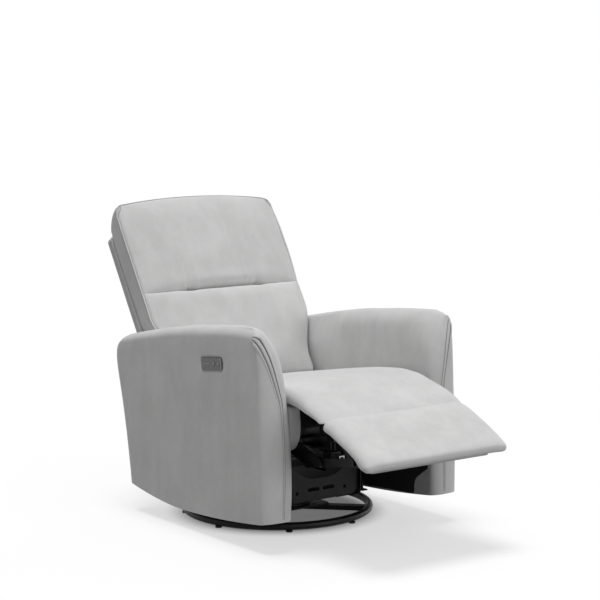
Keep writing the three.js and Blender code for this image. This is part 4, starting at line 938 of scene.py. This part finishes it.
def back_front(x, s):
    """How far the back's front stands out from its edge plane."""
    across = np.abs(x) / BACK_WIDE
    side = 1 - across**3
    upper = UPPER_CROWN * rise_and_fall(np.clip(s / BACK_TOP, 0, 1), 0.42, 0.6) * side
    lower = LOWER_CROWN * rise_and_fall(np.clip(s / BACK_BOTTOM, 0, 1), 0.16, 0.62) * side
    swell = np.where(s > 0, upper, lower)
    between = tuck_span(x, 60.0)
    groove = (SEAM_GROOVE + TUCK_GROOVE * between) * bump(s / 6.0) * (1 - across**6)
    above = np.where(s > 0, s, 0.0)
    sag = SAG_HEIGHT * bump(x / 190.0) * bump((above - 26) / 24) * (s > 0)
    pinch = 0.0
    for tuck in TUCKS:
        for deep, width, height, up in TUCK_DIPS:
            pinch = pinch + deep * bump((x - tuck) / width) * bump((s - up) / height)
    fold = 0.0
    for at, width, height, reach in PLEATS:
        fold = fold + height * bump((x - at) / width) * np.exp(-((above / reach) ** 2)) * (s > 0)
    return swell - groove + sag - pinch + fold


def back_edge_path():
    """Round the cushion's front edge, up the right side, over the head and down the left."""
    heights = np.linspace(-325, 318, 34)
    edge = [(-back_half(s, BACK_EDGE_DEPTH) + 1.5, s) for s in heights]
    edge += [(x, BACK_TOP - 3.0) for x in np.linspace(-296, 296, 34)]
    edge += [(back_half(s, BACK_EDGE_DEPTH) - 1.5, s) for s in heights[::-1]]
    edge = np.array(edge, float)
    depth = np.full(len(edge), BACK_EDGE_DEPTH)
    return np.column_stack([edge[:, 0], edge[:, 1] - back_bow(*edge.T), depth])


# Both seam lines are drawn in darkened cloth: painted shade along the seam.
# name, ends across the back, width and material
BACK_SEAMS = (
    ("back_seam", (-304, 304), 0.6, painted_fold_shade),
    ("back_tuck_seam", (-146, 156), 1.0, painted_seam_shade),
)
# Small creases that run up from the tucks, drawn as darkened strips of painted shade: across and up the back
TUCK_CREASES = (
    ((-128, 1), (-134, 5), (-139, 11), (-141, 18)),
    ((-122, 4), (-120, 14), (-119, 24)),
    ((136, 1), (143, 8), (147, 17)),
    ((146, -3), (155, -12), (160, -24)),
)


def edge_heights(points):
    """How far up the back's own frame points lie."""
    up = np.array([0.0, math.sin(BACK_LEAN), math.cos(BACK_LEAN)])
    return (points - np.array([0.0, *BACK_SEAM])) @ up


def make_back():
    box, faces = rounded_box((2 * BACK_WIDE, BACK_HEIGHT, BACK_DEPTH), 14.0, (120, 150, 8), 4)
    x = box[:, 0].copy()
    s = box[:, 1] + (BACK_TOP + BACK_BOTTOM) / 2
    depth = box[:, 2] + BACK_DEPTH / 2
    s = s * (1 - SEAM_SQUEEZE * bump(s / 32.0))
    front = np.clip(1 - depth / BACK_DEPTH, 0, 1)
    out = back_front(x, s) * front**1.2
    out = out + ripples(np.column_stack([x, s, depth]), BACK_WAVE) * front
    side = smoothstep(np.abs(x) / 80)
    shaped = x * back_half(s, depth) / BACK_WIDE - np.sign(x) * BACK_TAPER * depth / BACK_DEPTH * side
    bulge = np.where(x > 0, BACK_BULGE[0], -BACK_BULGE[1]) * smoothstep((np.abs(x) - 120) / 190)
    shaped = shaped + bulge * np.sin(np.pi * np.clip(s / BACK_TOP, 0, 1))
    upper = smoothstep((s - 150) / (BACK_TOP - 150))
    rounding = HEAD_ROUND * (1 - np.sqrt(np.clip(1 - (depth / BACK_DEPTH) ** 2 * 0.96, 0, 1))) * upper
    points = back_place(shaped, s - back_bow(x, s) - rounding, depth - out)
    flipped = [f[::-1] for f in faces]
    cover = mesh_object("back_cover", points, flipped, cloth)
    upholster(cover, "back")
    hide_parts("back_cushion")
    tree = surface_tree(points, flipped)
    path = back_place(*spline(back_edge_path(), EDGE_STEPS).T)
    places, normals = snap(path, tree, 1.0)
    head = np.flatnonzero(edge_heights(places) > BACK_TOP - 45)
    parts = {"right": (0, head[0] + 2), "head": (head[0], head[-1] + 1), "left": (head[-1] - 1, len(path))}
    for word, (first, last) in parts.items():
        # The head's piping is darkened cloth (painted shade), the sides' piping lightened cloth (painted
        # highlight).
        material = painted_fold_shade if word == "head" else piping_painted_light
        line = slice(first, last)
        profile = round_profile(PIPING_RADIUS)
        upholster(trim(f"back_piping_{word}", places[line], normals[line], profile, material), "back")
    middle = back_place(np.zeros(1), np.zeros(1), np.full(1, BACK_EDGE_DEPTH))
    # Thin darkened strips inside and outside the piping: painted shade in its grooves.
    sides = {"inner": path + (middle - path) * 0.014, "outer": path + back_step(0.0, 0.0, 4.5)}
    for word, line in sides.items():
        places, normals = snap(line, tree, 0.2)
        upholster(trim(f"back_welt_{word}", places, normals, FLAT_SEAM, painted_fold_shade), "back")
    for name, ends, width, material in BACK_SEAMS:
        line = np.linspace(*ends, SEAM_STEPS)
        path = back_place(line, np.zeros(SEAM_STEPS), np.full(SEAM_STEPS, 6.0))
        places, normals = snap(path, tree, 0.3)
        taper = width * np.clip((1 - np.abs(np.linspace(-1, 1, SEAM_STEPS))) / 0.3, 0.12, 1)
        upholster(trim(name, places, normals, FLAT_SEAM, material, taper), "back")
    for number, crease in enumerate(TUCK_CREASES):
        line = spline(np.array(crease, float), CREASE_STEPS)
        places, normals = snap(back_place(*line.T, np.zeros(CREASE_STEPS)), tree, 0.2)
        taper = 0.45 * (1.1 - np.linspace(0, 1, CREASE_STEPS))
        upholster(trim(f"back_crease_{number}", places, normals, FLAT_SEAM, painted_fold_shade, taper), "back")


SHELL_TOP = 266.0
SHELL_DEPTH = 47.0
SHELL_WIDE = 301.0
SHELL_NARROW = 255.0
SHELL_GAP = 0.3
SHELL_DISH = 3.0
SHELL_WAVE = (1.2, 90.0, 41.0, EVEN)
SHELL_PIPING_RADIUS = 1.8


def shell_half(s):
    return SHELL_NARROW + (SHELL_WIDE - SHELL_NARROW) * smoothstep((s + 170) / 75)


def make_shell():
    height = SHELL_TOP - BACK_BOTTOM
    box, faces = rounded_box((2 * SHELL_WIDE, height + 2, SHELL_DEPTH), 14.0, (46, 70, 4), 5)
    x = box[:, 0].copy()
    s = box[:, 1] + (SHELL_TOP + BACK_BOTTOM) / 2
    depth = box[:, 2] + SHELL_DEPTH / 2
    half = shell_half(s)
    x = x * half / SHELL_WIDE
    share = np.clip((s - BACK_BOTTOM) / height, 0, 1)
    dish = SHELL_DISH * np.sin(np.pi * share) * np.clip(1 - (x / half) ** 2, 0, 1)
    dish = dish + ripples(np.column_stack([x, s, depth]), SHELL_WAVE)
    points = back_place(x, s, BACK_DEPTH + SHELL_GAP + depth + dish * (depth / SHELL_DEPTH))
    flipped = [f[::-1] for f in faces]
    # The shell is drawn in darkened cloth: painted shade.
    shell = mesh_object("back_shell_cover", points, flipped, shell_painted_shade)
    upholster(shell, "back")
    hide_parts("back_shell")
    heights = np.linspace(-150, SHELL_TOP - 12, 26)
    edge = [(-shell_half(s) + 1.0, s) for s in heights]
    edge += [(x, SHELL_TOP) for x in np.linspace(-284, 284, 20)]
    edge += [(shell_half(s) - 1.0, s) for s in heights[::-1]]
    edge = spline(np.array(edge), 300)
    path = back_place(edge[:, 0], edge[:, 1], np.full(len(edge), BACK_DEPTH + 12.0))
    places, normals = snap(path, surface_tree(points, flipped), 0.4)
    profile = round_profile(SHELL_PIPING_RADIUS)
    # The shell's piping is lightened cloth: painted highlight.
    upholster(trim("back_shell_piping", places, normals, profile, piping_painted_light), "back")


# Marks on the control plate

CONTROL_TILT = math.radians(-7)
MARK_RADIUS = 0.35
# name: body, material, size (out, along, up), place (out, along, up)
CONTROL_MARKS = {
    "control_top_rim": ("chassis", rim_dark, (0.8, 98, 3.0), (0, 0, 20.2)),
    "control_end_rim": ("chassis", rim_dark, (0.8, 2.6, 32), (0, -54.2, -1)),
    # A pale strip along the plate's front end: a painted highlight.
    "control_end_painted_highlight": ("chassis", bright_marks_and_highlight, (1.4, 3.4, 31), (0, -50.6, -1)),
    "control_port_slot": ("chassis", mark_grey, (0.8, 28, 3.2), (-0.2, 24, 0)),
    "button_recline_dot": ("recline_button", bright_marks_and_highlight, (0.8, 3.0, 5.4), (-1.6, -13, 0)),
    "button_footrest_dot": ("footrest_button", bright_marks_and_highlight, (0.8, 3.0, 5.4), (-1.6, -39, 0)),
}


def make_control_marks():
    turn = turn_matrix(CONTROL_TILT)
    for name, (body, material, size, at) in CONTROL_MARKS.items():
        points, faces = rounded_box(size, MARK_RADIUS, (1, 4, 2), 2)
        points = points + np.array(at)
        points[:, 1:] = points[:, 1:] @ turn.T
        mark = mesh_object(name, points + CONTROL_AT, faces, material)
        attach(mark, body)


# Stage

# The floor as the camera sees it, its own light there, and the grey that lights the chair from below
FLOOR_WHITE = 0.4
FLOOR_GLOW = 0.62
FLOOR_BOUNCE = 0.3
SKY_LIGHT = 0.36
# Under the ring the floor's glow is turned down: a painted shadow of the ring and the chair above it
SHADE_RADIUS = 0.32
SHADE_BLEND = 0.06
GLOW_IN_PAINTED_SHADE = 0.14
FLOOR_REACH = 60.0


def any_of(nodes, links, rays, names):
    """One where any of the named kinds of ray hits."""
    found = rays.outputs[names[0]]
    for name in names[1:]:
        either = nodes.new("ShaderNodeMath")
        either.operation = "MAXIMUM"
        links.new(found, either.inputs[0])
        links.new(rays.outputs[name], either.inputs[1])
        found = either.outputs[0]
    return found


SEEN_RAYS = ("Is Camera Ray", "Is Glossy Ray", "Is Transmission Ray")
# name, direction of the light, strength and angle
SUNS = (
    ("top", (0.05, -0.12, -1.0), 0.56, 24.0),
    ("front", (-0.3, 1.0, 0.1), 0.53, 50.0),
    ("right", (-1.0, 0.0, -0.2), 0.15, 60.0),
)


def painted_ring_shade(nodes, links):
    """The floor's glow, turned down within the ring: painted shade where the ring and the chair above it would
    keep the light away.
    """
    coords = nodes.new("ShaderNodeTexCoord")
    away = nodes.new("ShaderNodeVectorMath")
    away.operation = "DISTANCE"
    away.inputs[1].default_value = tuple(AXIS)
    links.new(coords.outputs["Object"], away.inputs[0])
    fade = nodes.new("ShaderNodeMapRange")
    fade.interpolation_type = "SMOOTHSTEP"
    fade.inputs["From Min"].default_value = SHADE_RADIUS - SHADE_BLEND
    fade.inputs["From Max"].default_value = SHADE_RADIUS + SHADE_BLEND
    fade.inputs["To Min"].default_value = GLOW_IN_PAINTED_SHADE
    fade.inputs["To Max"].default_value = FLOOR_GLOW
    links.new(away.outputs["Value"], fade.inputs["Value"])
    return fade.outputs["Result"]


def make_floor():
    mesh = bpy.data.meshes.new("floor")
    corners = [(-1, -1), (1, -1), (1, 1), (-1, 1)]
    mesh.from_pydata([(a * FLOOR_REACH, b * FLOOR_REACH, 0) for a, b in corners], [], [(0, 1, 2, 3)])
    floor = bpy.data.objects.new("floor", mesh)
    bpy.context.scene.collection.objects.link(floor)
    material, nodes, links, shader = new_material("floor_white")
    shader.inputs["Base Color"].default_value = (FLOOR_BOUNCE, FLOOR_BOUNCE, FLOOR_BOUNCE, 1)
    shader.inputs["Roughness"].default_value = 0.9
    shader.inputs["Specular IOR Level"].default_value = 0.0
    pale = nodes.new("ShaderNodeBsdfDiffuse")
    pale.inputs["Color"].default_value = (FLOOR_WHITE, FLOOR_WHITE, FLOOR_WHITE, 1)
    glow = nodes.new("ShaderNodeEmission")
    links.new(painted_ring_shade(nodes, links), glow.inputs["Strength"])
    white = nodes.new("ShaderNodeAddShader")
    links.new(pale.outputs[0], white.inputs[0])
    links.new(glow.outputs[0], white.inputs[1])
    rays = nodes.new("ShaderNodeLightPath")
    mix = nodes.new("ShaderNodeMixShader")
    links.new(any_of(nodes, links, rays, SEEN_RAYS), mix.inputs["Fac"])
    links.new(shader.outputs[0], mix.inputs[1])
    links.new(white.outputs[0], mix.inputs[2])
    links.new(mix.outputs[0], nodes["Material Output"].inputs["Surface"])
    mesh.materials.append(material)


def make_world():
    scene = bpy.context.scene
    world = scene.world or bpy.data.worlds.new("world")
    scene.world = world
    world.use_nodes = True
    tree = world.node_tree
    white = tree.nodes["Background"]
    white.inputs["Color"].default_value = (1, 1, 1, 1)
    white.inputs["Strength"].default_value = 1.0
    light = tree.nodes.new("ShaderNodeBackground")
    light.inputs["Color"].default_value = (1, 1, 1, 1)
    light.inputs["Strength"].default_value = SKY_LIGHT
    rays = tree.nodes.new("ShaderNodeLightPath")
    mix = tree.nodes.new("ShaderNodeMixShader")
    tree.links.new(any_of(tree.nodes, tree.links, rays, SEEN_RAYS), mix.inputs["Fac"])
    tree.links.new(light.outputs[0], mix.inputs[1])
    tree.links.new(white.outputs[0], mix.inputs[2])
    tree.links.new(mix.outputs[0], tree.nodes["World Output"].inputs["Surface"])


def sun(name, towards, strength, angle):
    data = bpy.data.lights.new(name, "SUN")
    data.energy = strength * math.pi
    data.angle = math.radians(angle)
    obj = bpy.data.objects.new(name, data)
    obj.location = place(0, 0, 3000)
    obj.rotation_mode = "QUATERNION"
    obj.rotation_quaternion = Vector(towards).to_track_quat("-Z", "Y")
    bpy.context.scene.collection.objects.link(obj)


def make_stage():
    bpy.context.scene.view_settings.view_transform = "Standard"
    make_floor()
    make_world()
    for name, towards, strength, angle in SUNS:
        sun(name, towards, strength, angle)


make_camera()
make_stage()
dress_cad()
for side in (1, -1):
    make_arm(side)
    make_rail_cover(side)
make_seat()
make_footrest()
make_back()
make_shell()
make_control_marks()
